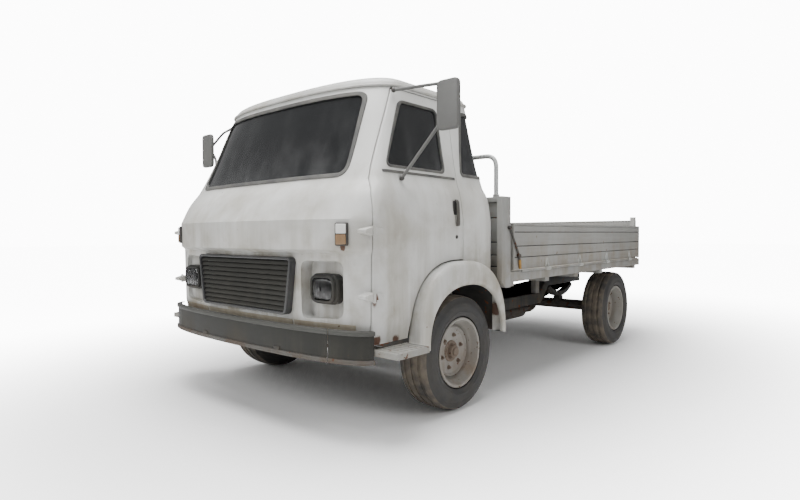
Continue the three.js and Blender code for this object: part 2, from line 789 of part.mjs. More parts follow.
function frontAxleBeam() {
  const bottom = frontSpringSeat + 25;
  const beam = box([-700, frontAxleY - 32, bottom], [700, frontAxleY + 32, bottom + 65]);
  const ends = [1, -1].flatMap((side) => {
    const across = (a, b) => [Math.min(side * a, side * b), Math.max(side * a, side * b)];
    const [blockLow, blockHigh] = across(660, 715);
    const [earLow, earHigh] = across(660, 785);
    return [
      box([blockLow, frontAxleY - 32, tyreRadius - 110], [blockHigh, frontAxleY + 32, tyreRadius + 110]),
      box([earLow, frontAxleY - 26, tyreRadius - 110], [earHigh, frontAxleY + 26, tyreRadius - 84]),
      box([earLow, frontAxleY - 26, tyreRadius + 84], [earHigh, frontAxleY + 26, tyreRadius + 110]),
    ];
  });
  return union(beam, ends);
}

function steeringKnuckle() {
  const barrel = rod('z', 26, tyreRadius - 82, tyreRadius + 82, [kingpinX, frontAxleY], 16);
  const stub = rod('x', stubRadius - boreClearance, kingpinX, kingpinX + 165,
    [frontAxleY, tyreRadius], 20);
  const arm = box([kingpinX - 16, frontAxleY, tyreRadius - 60], [kingpinX + 10, frontAxleY + 130,
    tyreRadius - 40]);
  return union(barrel, stub, arm);
}

function rearAxle() {
  const tubeEnd = wheelCentreX - 150;
  const casing = rod('x', 52, -tubeEnd, tubeEnd, [rearAxleY, tyreRadius], 16);
  const differential = new THREE.SphereGeometry(140, 14, 8);
  differential.rotateZ(Math.PI / 2).translate(0, rearAxleY, tyreRadius);
  const stubs = rod('x', stubRadius - boreClearance, -(wheelCentreX - 10), wheelCentreX - 10,
    [rearAxleY, tyreRadius], 20);
  const pads = [-springX, springX].map((x) => box(
    [x - 32, rearAxleY - 50, tyreRadius], [x + 32, rearAxleY + 50, rearSpringSeat - 25 - clearance]));
  return union(casing, solid(differential), stubs, pads);
}

// ---------- wheels: turned about X, outer face towards +X ----------
const wheelSides = 28;

function tyre() {
  const half = tyreWidth / 2;
  const wall = 12;
  const bead = rimHalfWidth - 8 - clearance;
  const inside = beadRadius + clearance;
  const tread = half - 40;
  const shoulder = half - 8;
  const profile = [
    [inside, bead], [inside + 24, bead + 3], [288, half], [335, shoulder], [tyreRadius, tread],
    [tyreRadius, -tread], [335, -shoulder], [288, -half], [inside + 24, -bead - 3],
    [inside, -bead], [inside, wall - bead], [288, wall - half], [330, wall - shoulder],
    [350, 10 - tread], [350, tread - 10], [330, shoulder - wall], [288, half - wall],
    [inside, bead - wall]];
  return turned(profile, wheelSides);
}

function wheel(discX) {
  const edge = rimHalfWidth;
  const bore = stubRadius;
  const capEnd = discX + 88;
  const outline = [
    [0, capEnd], [36, capEnd], [42, capEnd - 8], [42, discX + 52], [60, discX + 48],
    [62, discX + 9], [178, discX + 2], [196, discX + 14], [198, edge - 10],
    [flangeRadius, edge], [flangeRadius, edge - 5], [beadRadius, edge - 8],
    [beadRadius, 8 - edge], [flangeRadius, 5 - edge], [flangeRadius, -edge],
    [198, 10 - edge], [196, discX - 12], [178, discX - 6], [70, discX - 2],
    [70, discX - 50], [bore, discX - 50], [bore, discX + 40], [0, discX + 40]];
  return turned(outline, wheelSides);
}

function addWheel(place, axleY, side, discX) {
  const at = [side * wheelCentreX, axleY, tyreRadius];
  const turn = side > 0 ? 0 : Math.PI;
  addPart(`wheel_${place}`, wheel(discX), 'wheel', at, turn);
  addPart(`tyre_${place}`, tyre(), 'tyre', at, turn);
}

// ---------- load bed ----------
function loadDeck() {
  const half = bedHalfWidth - dropsideThickness - 5;
  const boards = box([-half, deckFrontY, deckTop - deckThickness], [half, deckRearY, deckTop]);
  const sills = [-1, 1].map((side) => {
    const ends = [side * (half - 1), side * bedHalfWidth].sort((a, b) => a - b);
    return box([ends[0], deckFrontY, deckTop - 68], [ends[1], deckRearY, deckTop]);
  });
  const firstBearer = deckFrontY + 70;
  const lastBearer = rearAxleY - 450;
  const bearerCount = 4;
  const places = [deckRearY - 60];
  for (let i = 0; i < bearerCount; i += 1) {
    places.push(firstBearer + (lastBearer - firstBearer) * i / (bearerCount - 1));
  }
  const bearers = places.map((y) => box([-half, y - 35, bearerBottom], [half, y + 35, deckTop - 10]));
  const runnerBottom = railTop + railKick - 20 + clearance;
  const runners = [-railCentreX, railCentreX].map((x) => box([x - 30, deckFrontY, runnerBottom],
    [x + 30, deckRearY, deckTop - 10]));
  const feet = [-railCentreX, railCentreX].flatMap((x) => [0, 1, 2].map((i) => {
    const y = deckFrontY + 100 + i * (rearAxleY - 620 - deckFrontY) / 2;
    return box([x - 28, y - 35, railTop + clearance], [x + 28, y + 35, runnerBottom + 5]);
  }));
  const postInner = half - 48;
  const posts = [-1, 1].map((side) => {
    const ends = [side * postInner, side * (half - 2)].sort((a, b) => a - b);
    return box([ends[0], deckRearY - 52, deckTop - 10], [ends[1], deckRearY - 4, postTop]);
  });
  return union(boards, sills, bearers, runners, feet, posts);
}

function headboard() {
  const postFront = cabRearY - 27;
  const postInner = bedHalfWidth - 42;
  const boardsTop = headboardTop - 40;
  const boards = box([-postInner - 5, headboardY, deckTop - 68], [postInner + 5, headboardY + 30,
    boardsTop + 5]);
  const rail = box([-bedHalfWidth, headboardY - 15, boardsTop], [bedHalfWidth, deckFrontY - clearance,
    headboardTop]);
  const posts = [-1, 1].map((side) => {
    const ends = [side * postInner, side * bedHalfWidth].sort((a, b) => a - b);
    const outline = [[postFront, 744], [deckFrontY - 42, 744], [deckFrontY - clearance, deckTop - 68],
      [deckFrontY - clearance, headboardTop], [postFront, headboardTop]];
    return sidePrism(outline, ends[0], ends[1]);
  });
  const battens = [-350, 350].map((x) => box([x - 40, headboardY - 14, deckTop - 68],
    [x + 40, headboardY + 5, boardsTop + 5]));
  return union(boards, rail, posts, battens);
}

function headboardHoop() {
  const y = headboardY + 20;
  const x = 972;
  const bend = 75;
  const bendSteps = 6;
  const sides = 10;
  const route = [[x, headboardTop + clearance, 0]];
  for (const side of [1, -1]) {
    for (let i = 0; i <= bendSteps; i += 1) {
      const turn = (Math.PI / 2) * (i / bendSteps);
      const angle = side > 0 ? turn : Math.PI / 2 + turn;
      const centreX = side * (x - bend);
      route.push([centreX + bend * Math.cos(angle), hoopTop - bend + bend * Math.sin(angle), angle]);
    }
  }
  route.push([-x, headboardTop + clearance, Math.PI]);
  return stack(route.map(([px, pz, angle]) => {
    const ring = [];
    for (let i = 0; i < sides; i += 1) {
      const around = 2 * Math.PI * i / sides;
      const out = hoopTube * Math.cos(around);
      ring.push([px + out * Math.cos(angle), y + hoopTube * Math.sin(around),
        pz + out * Math.sin(angle)]);
    }
    return ring;
  }));
}

function dropside() {
  const outer = bedHalfWidth;
  const inner = outer - dropsideThickness;
  const start = deckFrontY + 38;
  const end = deckRearY - 5;
  const top = dropsideBottom + dropsideHeight - 10;
  let panel = box([inner, start, dropsideBottom], [outer, end, top]);
  const grooves = [0.38, 0.72].map((share) => dropsideBottom + (top - dropsideBottom) * share);
  for (const z of grooves) {
    panel = panel.subtract(box([outer - 4, start - 5, z - 4], [outer + 5, end + 5, z + 4]));
  }
  const hinges = [0.19, 0.42, 0.65, 0.88].flatMap((share) => {
    const y = start + (end - start) * share;
    const strap = sidePrism([[y - 22, dropsideHingeZ + 2], [y + 22, dropsideHingeZ + 2],
      [y, dropsideHingeZ + 55]], outer - 2, outer + 6);
    const barrel = rod('y', 7, y - 22, y + 22, [dropsideHingeX, dropsideHingeZ], 10);
    return [strap, barrel];
  });
  return union(panel, hinges);
}

const latchPivotY = deckFrontY + 97;
const latchPivotZ = 962;

function latch() {
  const outer = bedHalfWidth + clearance;
  const top = [latchPivotY - 132, latchPivotZ + 199];
  const rodSize = 8;
  const bar = sidePrism([[latchPivotY - rodSize, latchPivotZ], [latchPivotY + rodSize, latchPivotZ],
    [top[0] + rodSize, top[1]], [top[0] - rodSize, top[1]]], outer + 6, outer + 20);
  const boss = rod('x', 14, outer + 1, outer + 22, [latchPivotY, latchPivotZ], 12);
  const hook = rod('x', 16, outer + 1, outer + 22, top, 12);
  const grip = box([outer + 4, latchPivotY - 9, latchPivotZ - 95], [outer + 22, latchPivotY + 9,
    latchPivotZ]);
  return union(bar, boss, hook, grip);
}

function tailgate() {
  const half = bedHalfWidth;
  const front = tailFaceY - tailgateThickness;
  let panel = box([-half, front, dropsideBottom], [half, tailFaceY, tailgateTop]);
  for (const share of [0.35, 0.68]) {
    const z = dropsideBottom + (tailgateTop - dropsideBottom) * share;
    panel = panel.subtract(box([-half - 5, tailFaceY - 4, z - 4], [half + 5, tailFaceY + 5, z + 4]));
  }
  const axisY = tailFaceY + 10;
  const hinges = [-0.7, -0.25, 0.25, 0.7].flatMap((share) => {
    const x = half * share;
    const strap = frontPrism([[x - 22, dropsideHingeZ + 2], [x + 22, dropsideHingeZ + 2],
      [x, dropsideHingeZ + 55]], tailFaceY - 2, tailFaceY + 6);
    return [strap, rod('x', 10, x - 22, x + 22, [axisY, dropsideHingeZ], 16)];
  });
  return union(panel, hinges);
}

// ---------- assembly ----------
addPair('frame_rail', frameRail(), 'chassis');
addPart('front_crossmember', crossmember(frontAxleY - 800, railBottom + 10, railTop - 10), 'chassis');
addPart('rear_crossmember', crossmember(deckRearY - 70, railBottom + railKick + 8,
  railTop + railKick - 28), 'chassis');
addPart('engine', engine(), 'iron');
addPart('propshaft', propshaft(), 'steel');
addPart('fuel_tank', fuelTank(), 'chassis');
addPart('exhaust', exhaust(), 'iron');
addPart('front_axle_beam', frontAxleBeam(), 'iron');
addPart('rear_axle', rearAxle(), 'iron');
addPair('front_spring', leafSpring(frontAxleY, 430, railBottom - 26, frontSpringSeat, 40), 'iron');
addPair('rear_spring', leafSpring(rearAxleY, 260, railBottom + railKick - 28, rearSpringSeat, 50), 'iron');
addPair('steering_knuckle', steeringKnuckle(), 'iron');
addWheel('front_left', frontAxleY, 1, 8);
addWheel('front_right', frontAxleY, -1, 8);
addWheel('rear_left', rearAxleY, 1, -22);
addWheel('rear_right', rearAxleY, -1, -22);

addPart('cab_floor', cabFloor(), 'cab');
addPart('front_panel', frontPanel(), 'cab');
addPart('roof', roof(), 'cab');
addPart('rear_wall', rearWall(), 'cab');
addPair('cab_side', cabSide(), 'cab');
addPart('windscreen', glassShell.intersect(windscreenPrism(-clearance)), 'glass');
addPart('rear_window', glassShell.intersect(rearWindowPrism(-clearance)), 'glass');
addPair('quarter_window', glassShell.intersect(quarterWindow(-clearance)), 'glass');
addPart('grille', grille(), 'grille');
addPair('headlamp', headlamp(), 'lamp');
addPart('front_bumper', frontBumper(), 'bumper');
addPair('step', step(), 'cab');
addPart('dashboard', dashboard(), 'trim');
addPart('steering_wheel', steeringWheel(), 'trim');
addPart('seat_cushion', seatCushion(), 'seat');
addPart('seat_back', seatBack(), 'seat');

addPair('door', door(), 'cab');
addPair('door_glass', glassShell.intersect(doorWindowPrism(-clearance)), 'glass');
addPair('door_handle', doorHandle(), 'trim');
addPair('mirror', mirrorArm(), 'steel');

addPart('load_deck', loadDeck(), 'bed');
addPart('headboard', headboard(), 'bed');
addPart('headboard_hoop', headboardHoop(), 'bed');
addPair('dropside', dropside(), 'bed');
addPair('latch', latch(), 'steel');
addPart('tailgate', tailgate(), 'bed');

export default truck;
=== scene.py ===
"""A light dropside flatbed truck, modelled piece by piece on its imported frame."""
import math

import bpy
from mathutils import Matrix, Vector


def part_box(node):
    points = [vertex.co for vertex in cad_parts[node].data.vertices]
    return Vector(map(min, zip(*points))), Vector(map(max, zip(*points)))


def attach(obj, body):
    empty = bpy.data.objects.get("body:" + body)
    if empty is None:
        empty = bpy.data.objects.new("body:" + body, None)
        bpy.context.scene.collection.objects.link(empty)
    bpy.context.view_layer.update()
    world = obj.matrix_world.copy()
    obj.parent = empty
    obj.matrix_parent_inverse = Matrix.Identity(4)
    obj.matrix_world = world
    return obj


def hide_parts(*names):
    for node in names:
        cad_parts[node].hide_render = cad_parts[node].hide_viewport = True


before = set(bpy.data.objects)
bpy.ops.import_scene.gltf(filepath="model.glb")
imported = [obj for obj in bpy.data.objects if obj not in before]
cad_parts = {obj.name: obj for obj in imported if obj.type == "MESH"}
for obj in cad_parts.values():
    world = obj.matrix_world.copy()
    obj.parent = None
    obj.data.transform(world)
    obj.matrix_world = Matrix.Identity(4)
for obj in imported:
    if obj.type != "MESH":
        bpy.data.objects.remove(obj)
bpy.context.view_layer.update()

bl_info = {
    "name": "Dropside truck",
    "version": (1, 0, 0),
    "blender": (4, 5, 0),
    "location": "3D View > Sidebar > Truck",
    "description": "Builds a light cab-over dropside truck on its packed frame",
    "category": "Object",
}

SIDES = ("left", "right")
AXLE_Y = -1.162             # front axle
REAR_AXLE_Y = 1.564
NOSE_Y = -2.155
AHEAD_Y = NOSE_Y - 0.05      # in front of the whole cab
CAB_REAR_Y = -0.725
CAB_HALF = 1.003
ROOF_BASE = 1.992
DOOR_FRONT_Y = AXLE_Y - 0.778
DOOR_REAR_Y = AXLE_Y + 0.045
PILLAR_FOOT_Y = AXLE_Y - 0.711
PILLAR_TOP_Y = AXLE_Y - 0.430
DOOR_TOP = 1.978
DOOR_BOTTOM = 0.524
PILLAR_SLANT = 1.14
ARCH_BASE = 0.450
REACH = 1.3                 # past any side of the cab
WHEEL_X = 0.904
LAMP_X = 0.700
LAMP_Y = NOSE_Y + 0.095
LAMP_Z = 0.820
RECESS_Y = NOSE_Y + 0.185

# Height of each cab level, with how far the side and nose lean in, the depth and
# squareness of the rounded front, and how far the back leans in.
CAB_LEVELS = (
    (0.500, 0.028, 0.125, 0.135, 2.1, 0.000),
    (0.640, 0.007, 0.086, 0.166, 2.1, 0.000),
    (1.012, 0.004, 0.078, 0.172, 2.1, 0.000),
    (1.036, 0.003, 0.002, 0.248, 2.0, 0.000),
    (1.200, 0.003, 0.000, 0.250, 2.0, 0.000),
    (1.330, 0.021, 0.092, 0.225, 2.3, 0.004),
    (1.385, 0.036, 0.150, 0.210, 2.6, 0.014),
    (1.425, 0.053, 0.195, 0.200, 3.0, 0.028),
    (1.992, 0.173, 0.388, 0.300, 2.6, 0.072),
)
CORNER_RADIUS = 0.090
SKIN_TOP = 1.9916           # where the sides stop under the gutter
SIDE_FOOT = 0.552
WINDOW_FOOT = 1.497
SHEET = 0.006               # how thick a pressed panel shows at its edge
FLANGE = (0.005, 0.022)     # depths behind the skin of a window's flange
GLASS = (0.008, 0.012)      # depths behind the skin of a pane
INSIDE_DOOR = 0.6           # nearer the middle than any side panel
ARCH_STEPS = 40
TYRE_RADIUS = 0.369
BED_FRONT_Y = -0.6275
SIDE_FRONT_Y = -0.5950      # dropside
SIDE_REAR_Y = 2.0976
HINGE_X = 1.075             # hinge line of a dropside
HINGE_Z = 0.853
STRAP_FOOT_Z = 0.866
DECK_TOP = 0.85
MERGE = 1e-5
BOARD_STAIN = (0.13, 0.07, 0.045)

# The body, material slot and finish of pieces that share all three.
CAB_COAT = ("chassis", "cab_paint", "cab coat")
BED_STEEL = ("chassis", "bed_boards", "bed steel coat")
FRAME_COAT = ("chassis", "chassis_paint", "chassis coat")
SEAL = ("chassis", "trim", "window rubber")
PANE = ("chassis", "window_glass", "tinted glass")


# ---------- mesh making ----------
def clear_selection():
    if bpy.context.object and bpy.context.object.mode != "OBJECT":
        bpy.ops.object.mode_set(mode="OBJECT")
    for item in list(bpy.context.selected_objects):
        item.select_set(False)


def activate(piece):
    clear_selection()
    piece.select_set(True)
    bpy.context.view_layer.objects.active = piece
    return piece


def edit(piece):
    activate(piece)
    bpy.ops.object.mode_set(mode="EDIT")
    bpy.ops.mesh.select_all(action="SELECT")


def leave(piece):
    bpy.ops.object.mode_set(mode="OBJECT")
    return piece


def settle(piece):
    """Puts the object's place into its mesh."""
    activate(piece)
    bpy.ops.object.transform_apply(location=True, rotation=True, scale=True)
    return piece


def from_faces(name, points, faces):
    mesh = bpy.data.meshes.new(name)
    mesh.from_pydata(points, [], faces)
    piece = bpy.data.objects.new(name, mesh)
    bpy.context.scene.collection.objects.link(piece)
    return recalculated(piece)


def recalculated(piece):
    edit(piece)
    bpy.ops.mesh.remove_doubles(threshold=MERGE)
    bpy.ops.mesh.normals_make_consistent(inside=False)
    return leave(piece)


def block(low, high, bevel=0.0, segments=3):
    """A box from its corners with rounded edges."""
    centre = [(a + b) / 2 for a, b in zip(low, high)]
    size = [b - a for a, b in zip(low, high)]
    clear_selection()
    bpy.ops.mesh.primitive_cube_add(size=1, location=centre, scale=size)
    piece = settle(bpy.context.object)
    if bevel:
        edit(piece)
        bpy.ops.mesh.bevel(offset=min(bevel, min(size) * 0.45), segments=segments)
        leave(piece)
    return piece


def bar(start, end, radius, sides=20, bevel=0.0):
    """A round bar between two points."""
    start, end = Vector(start), Vector(end)
    along = end - start
    clear_selection()
    bpy.ops.mesh.primitive_cylinder_add(vertices=sides, radius=radius, depth=along.length,
                                        location=(start + end) / 2,
                                        rotation=along.to_track_quat("Z", "Y").to_euler())
    piece = settle(bpy.context.object)
    if bevel:
        edit(piece)
        bpy.ops.mesh.select_all(action="DESELECT")
        leave(piece)
        side = along.normalized()
        for edge in piece.data.edges:
            a, b = (piece.data.vertices[i].co for i in edge.vertices)
            edge.select = abs((b - a).normalized().dot(side)) < 0.5
        bpy.ops.object.mode_set(mode="EDIT")
        bpy.ops.mesh.bevel(offset=bevel, segments=2)
        leave(piece)
    return piece


def ball(centre, radius):
    clear_selection()
    bpy.ops.mesh.primitive_uv_sphere_add(segments=20, ring_count=10, radius=radius,
                                         location=centre)
    return settle(bpy.context.object)


def prism(outline, axis, low, high):
    """An outline of [y, z] points drawn out along X, or of [x, z] points along Y."""
    clear_selection()
    bpy.ops.mesh.primitive_circle_add(vertices=len(outline), radius=1, fill_type="NGON")
    piece = bpy.context.object
    for vertex, (a, b) in zip(piece.data.vertices, outline):
        vertex.co = (low, a, b) if axis == "x" else (a, low, b)
    edit(piece)
    move = (high - low, 0, 0) if axis == "x" else (0, high - low, 0)
    bpy.ops.mesh.extrude_region_move(TRANSFORM_OT_translate={"value": move})
    bpy.ops.mesh.select_all(action="SELECT")
    bpy.ops.mesh.normals_make_consistent(inside=False)
    return leave(piece)


def rounded(corners, radius, steps=6):
    """The outline with each corner turned into an arc."""
    points = []
    count = len(corners)
    for i, corner in enumerate(corners):
        here = Vector(corner)
        to_last = (Vector(corners[i - 1]) - here)
        to_next = (Vector(corners[(i + 1) % count]) - here)
        reach = min(radius, to_last.length * 0.48, to_next.length * 0.48)
        first = here + to_last.normalized() * reach
        last = here + to_next.normalized() * reach
        for step in range(steps + 1):
            t = step / steps
            points.append(tuple(first * (1 - t) ** 2 + here * 2 * t * (1 - t) + last * t * t))
    return points


def lathe(profile, centre, steps=64):
    """A profile of (x, radius) points turned about a line along X through the centre."""
    points = [(centre[0] + x, centre[1], centre[2] + r) for x, r in profile]
    edges = [(i, i + 1) for i in range(len(points) - 1)]
    mesh = bpy.data.meshes.new("profile")
    mesh.from_pydata(points, edges, [])
    piece = bpy.data.objects.new("profile", mesh)
    bpy.context.scene.collection.objects.link(piece)
    edit(piece)
    bpy.ops.mesh.spin(steps=steps, angle=2 * math.pi, center=centre, axis=(1, 0, 0))
    leave(piece)
    return recalculated(piece)


def loft(rows):
    """Closed rows of points joined into a skin, with the first and last rows filled in."""
    width = len(rows[0])
    points = [tuple(p) for row in rows for p in row]
    faces = []
    for r in range(len(rows) - 1):
        for c in range(width):
            n = (c + 1) % width
            faces.append((r * width + c, r * width + n, (r + 1) * width + n, (r + 1) * width + c))
    faces.append(tuple(range(width)))
    faces.append(tuple((len(rows) - 1) * width + c for c in range(width)))
    return from_faces("loft", points, faces)


def pipe(points, radius, bend=0.0, sides=6):
    """A tube along a line of points, its corners rounded."""
    curve = bpy.data.curves.new("pipe", "CURVE")
    curve.dimensions = "3D"
    path = [Vector(p) for p in points]
    if bend:
        soft = [path[0]]
        for last, here, following in zip(path, path[1:], path[2:]):
            first = here + (last - here).normalized() * bend
            final = here + (following - here).normalized() * bend
            for step in range(9):
                t = step / 8
                soft.append(first * (1 - t) ** 2 + here * 2 * t * (1 - t) + final * t * t)
        path = soft + [path[-1]]
    spline = curve.splines.new("POLY")
    spline.points.add(len(path) - 1)
    for point, place in zip(spline.points, path):
        point.co = (*place, 1)
    curve.bevel_depth = radius
    curve.bevel_resolution = sides
    curve.use_fill_caps = True
    piece = bpy.data.objects.new("pipe", curve)
    bpy.context.scene.collection.objects.link(piece)
    activate(piece)
    bpy.ops.object.convert(target="MESH")
    return recalculated(bpy.context.object)


def modify(piece, kind, **settings):
    """Adds a modifier with these settings and applies it."""
    activate(piece)
    modifier = piece.modifiers.new(kind.title(), kind)
    for key, value in settings.items():
        setattr(modifier, key, value)
    bpy.ops.object.modifier_apply(modifier=modifier.name)
    return piece


def combine(piece, tool, way):
    modify(piece, "BOOLEAN", object=tool, operation=way, solver="EXACT")
    bpy.data.objects.remove(tool, do_unlink=True)
    if not piece.data.polygons:
        raise RuntimeError("nothing is left of " + piece.name)
    return piece


def cut(piece, *tools):
    for tool in tools:
        combine(piece, tool, "DIFFERENCE")
    return piece


def keep(piece, tool):
    return combine(piece, tool, "INTERSECT")


def joined(*pieces):
    """Several pieces as one object."""
    clear_selection()
    for piece in pieces:
        piece.select_set(True)
    bpy.context.view_layer.objects.active = pieces[0]
    bpy.ops.object.join()
    return bpy.context.object


def soften(piece, width=0.0015, angle=35, segments=2):
    """Rounds sharp edges a little."""
    return modify(piece, "BEVEL", width=width, segments=segments, limit_method="ANGLE",
                  angle_limit=math.radians(angle), use_clamp_overlap=False)


def smooth(piece, angle=35):
    activate(piece)
    bpy.ops.object.shade_smooth_by_angle(angle=math.radians(angle))
    return piece


def mirrored(piece):
    """A copy on the other side of the truck."""
    other = piece.copy()
    other.data = piece.data.copy()
    bpy.context.scene.collection.objects.link(other)
    other.data.transform(Matrix.Scale(-1, 4, (1, 0, 0)))
    other.data.flip_normals()
    return other


def shifted(piece, move):
    other = piece.copy()
    other.data = piece.data.copy()
    bpy.context.scene.collection.objects.link(other)
    other.data.transform(Matrix.Translation(move))
    return other


def refined(node):
    """The CAD node's shape as a new merged piece."""
    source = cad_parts[node]
    piece = bpy.data.objects.new(node + "_fine", source.data.copy())
    bpy.context.scene.collection.objects.link(piece)
    piece.data.materials.clear()
    edit(piece)
    bpy.ops.mesh.remove_doubles(threshold=2e-5)
    bpy.ops.mesh.dissolve_limited(angle_limit=math.radians(1.5))
    return leave(piece)


def place(piece, name, body, slot, material, nodes=(), angle=35):
    """Names the piece, gives it its body, finish and the CAD nodes that it stands for."""
    piece.name = name
    piece.data.name = name
    piece.data.materials.clear()
    piece.data.materials.append(bpy.data.materials[material])
    smooth(piece, angle)
    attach(piece, body)
    if nodes:
        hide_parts(*nodes)
    return piece


def place_pair(piece, name, body, slot, material, nodes="", angle=35):
    """Places a left piece and its mirrored copy; {} in a name is the side."""
    other = mirrored(piece)
    for item, side in zip((piece, other), SIDES):
        place(item, name.format(side), body.format(side), slot, material,
              (nodes.format(side),) if nodes else (), angle)


# ---------- materials ----------
def shade(tree, kind, inputs=None, **settings):
    made = tree.nodes.new(kind)
    for key, value in settings.items():
        setattr(made, key, value)
    for key, value in (inputs or {}).items():
        if isinstance(value, bpy.types.NodeSocket):
            tree.links.new(value, made.inputs[key])
        else:
            made.inputs[key].default_value = value
    return made


def new_group(name, inputs, output):
    """A shader node group with number or vector inputs and one number out."""
    tree = bpy.data.node_groups.new(name, "ShaderNodeTree")
    for label, value in inputs.items():
        kind = "NodeSocketVector" if isinstance(value, tuple) else "NodeSocketFloat"
        socket = tree.interface.new_socket(label, in_out="INPUT", socket_type=kind)
        socket.default_value = value
    tree.interface.new_socket(output, in_out="OUTPUT", socket_type="NodeSocketFloat")
    return tree, tree.nodes.new("NodeGroupInput").outputs, tree.nodes.new("NodeGroupOutput").inputs


def object_place(tree):
    return shade(tree, "ShaderNodeTexCoord").outputs["Object"]


def maths(tree, operation, a, b=0.5, clamp=False):
    return shade(tree, "ShaderNodeMath", {0: a, 1: b}, operation=operation,
                 use_clamp=clamp).outputs[0]


def window(tree, value, low, high):
    """0 below low and 1 above high, smooth between."""
    return shade(tree, "ShaderNodeMapRange", {"Value": value, "From Min": low, "From Max": high},
                 interpolation_type="SMOOTHSTEP").outputs[0]


def noise(tree, where, scale, detail, roughness=0.5, distortion=0.0):
    return shade(tree, "ShaderNodeTexNoise", {
        "Vector": where, "Scale": scale, "Detail": detail, "Roughness": roughness,
        "Distortion": distortion}).outputs[0]


def make_streak_group():
    """Streaks and clouds that run down from a height, heavier towards the bottom: dirt on most
    finishes, and painted shade along the roof's lower rim.
    """
    tree, given, made = new_group("Running dirt and shade", {"Top": 1.4, "Bottom": 0.5, "Scale": 9.0}, "Mask")
    where = object_place(tree)
    narrow = shade(tree, "ShaderNodeMapping", {"Vector": where, "Scale": (1, 1, 0.10)})
    streak = noise(tree, narrow.outputs[0], given["Scale"], 7, 0.62)
    cloud = noise(tree, where, 3.2, 6, 0.6)
    height = shade(tree, "ShaderNodeSeparateXYZ", {0: where}).outputs["Z"]
    low = window(tree, height, given["Top"], given["Bottom"])
    mixed = maths(tree, "MULTIPLY", window(tree, streak, 0.40, 0.68), 0.75)
    mixed = maths(tree, "ADD", mixed, window(tree, cloud, 0.42, 0.72))
    tree.links.new(maths(tree, "MULTIPLY", mixed, low, True), made["Mask"])


def make_chip_group():
    """Small spots where the coat is gone."""
    tree, given, made = new_group("Chipped coat", {"Scale": 28.0, "Rarity": 0.66}, "Mask")
    fine = noise(tree, object_place(tree), given["Scale"], 5, 0.55)
    top = maths(tree, "ADD", given["Rarity"], 0.03)
    tree.links.new(window(tree, fine, given["Rarity"], top), made["Mask"])


def make_spot_group():
    """A ragged patch round one place, stretched downwards."""
    tree, given, made = new_group("Rust patch", {"Centre": (0.0, 0.0, 0.0), "Radius": 0.08,
                                                 "Drop": 0.5}, "Mask")
    away = shade(tree, "ShaderNodeVectorMath", {0: object_place(tree), 1: given["Centre"]},
                 operation="SUBTRACT")
    flat = shade(tree, "ShaderNodeCombineXYZ", {"X": 1.0, "Y": 1.0, "Z": given["Drop"]})
    flat = shade(tree, "ShaderNodeVectorMath", {0: away.outputs[0], 1: flat.outputs[0]},
                 operation="MULTIPLY")
    far = shade(tree, "ShaderNodeVectorMath", {0: flat.outputs[0]}, operation="LENGTH")
    share = maths(tree, "DIVIDE", far.outputs["Value"], given["Radius"])
    near = maths(tree, "SUBTRACT", 1.0, share, True)
    rag = noise(tree, object_place(tree), 46.0, 7, 0.72)
    ragged = maths(tree, "MULTIPLY", near, maths(tree, "ADD", rag, 0.35))
    tree.links.new(window(tree, ragged, 0.30, 0.52), made["Mask"])


def make_mottle_group():
    """A soft cloudy change over the surface."""
    tree, given, made = new_group("Mottle", {"Scale": 5.0, "Low": 0.35, "High": 0.7}, "Mask")
    cloud = noise(tree, object_place(tree), given["Scale"], 7, 0.6)
    tree.links.new(window(tree, cloud, given["Low"], given["High"]), made["Mask"])


def make_grain_group():
    """The fine relief of a sprayed, cast or worn surface."""
    tree, given, made = new_group("Surface grain", {"Scale": 240.0, "Dents": 6.0, "Share": 0.5},
                                  "Height")
    where = object_place(tree)
    fine = noise(tree, where, given["Scale"], 4)
    wide = noise(tree, where, given["Dents"], 2)
    share = maths(tree, "MULTIPLY", wide, given["Share"])
    rest = maths(tree, "MULTIPLY", fine, maths(tree, "SUBTRACT", 1.0, given["Share"]))
    tree.links.new(maths(tree, "ADD", share, rest), made["Height"])


def make_wood_group():
    """Long grain along Y, or along X where turned, with the odd dark streak."""
    tree, given, made = new_group("Board grain", {"Along X": 0.0, "Scale": 26.0}, "Mask")
    where = object_place(tree)
    short = maths(tree, "SUBTRACT", 1.0, maths(tree, "MULTIPLY", given["Along X"], 0.95))
    other = maths(tree, "ADD", maths(tree, "MULTIPLY", given["Along X"], 0.95), 0.05)
    stretch = shade(tree, "ShaderNodeCombineXYZ", {"X": short, "Y": other, "Z": 1.0})
    long = shade(tree, "ShaderNodeVectorMath", {0: where, 1: stretch.outputs[0]},
                 operation="MULTIPLY")
    grain = noise(tree, long.outputs[0], given["Scale"], 8, 0.62, 0.4)
    tree.links.new(window(tree, grain, 0.36, 0.66), made["Mask"])


def use_group(tree, name, **values):
    made = tree.nodes.new("ShaderNodeGroup")
    made.node_tree = bpy.data.node_groups[name]
    for key, value in values.items():
        made.inputs[key.replace("_", " ")].default_value = value
    return made.outputs[0]


def blended(tree, mask, first, second):
    """first where the mask is 0 and second where it is 1."""
    made = shade(tree, "ShaderNodeMix", data_type="RGBA")
    colour_a, colour_b, result = made.inputs[6], made.inputs[7], made.outputs[2]
    tree.links.new(mask, made.inputs[0])
    for socket, value in ((colour_a, first), (colour_b, second)):
        if isinstance(value, bpy.types.NodeSocket):
            tree.links.new(value, socket)
        else:
            socket.default_value = (*value[:3], 1.0)
    return result


def begin(name):
    """A new material: its tree and its Principled shader."""
    material = bpy.data.materials.new(name)
    material.use_nodes = True
    tree = material.node_tree
    return tree, tree.nodes["Principled BSDF"]


def between(tree, mask, low, high):
    """low where the mask is 0 and high where it is 1."""
    made = shade(tree, "ShaderNodeMapRange", {"Value": mask, "To Min": low, "To Max": high})
    return made.outputs[0]


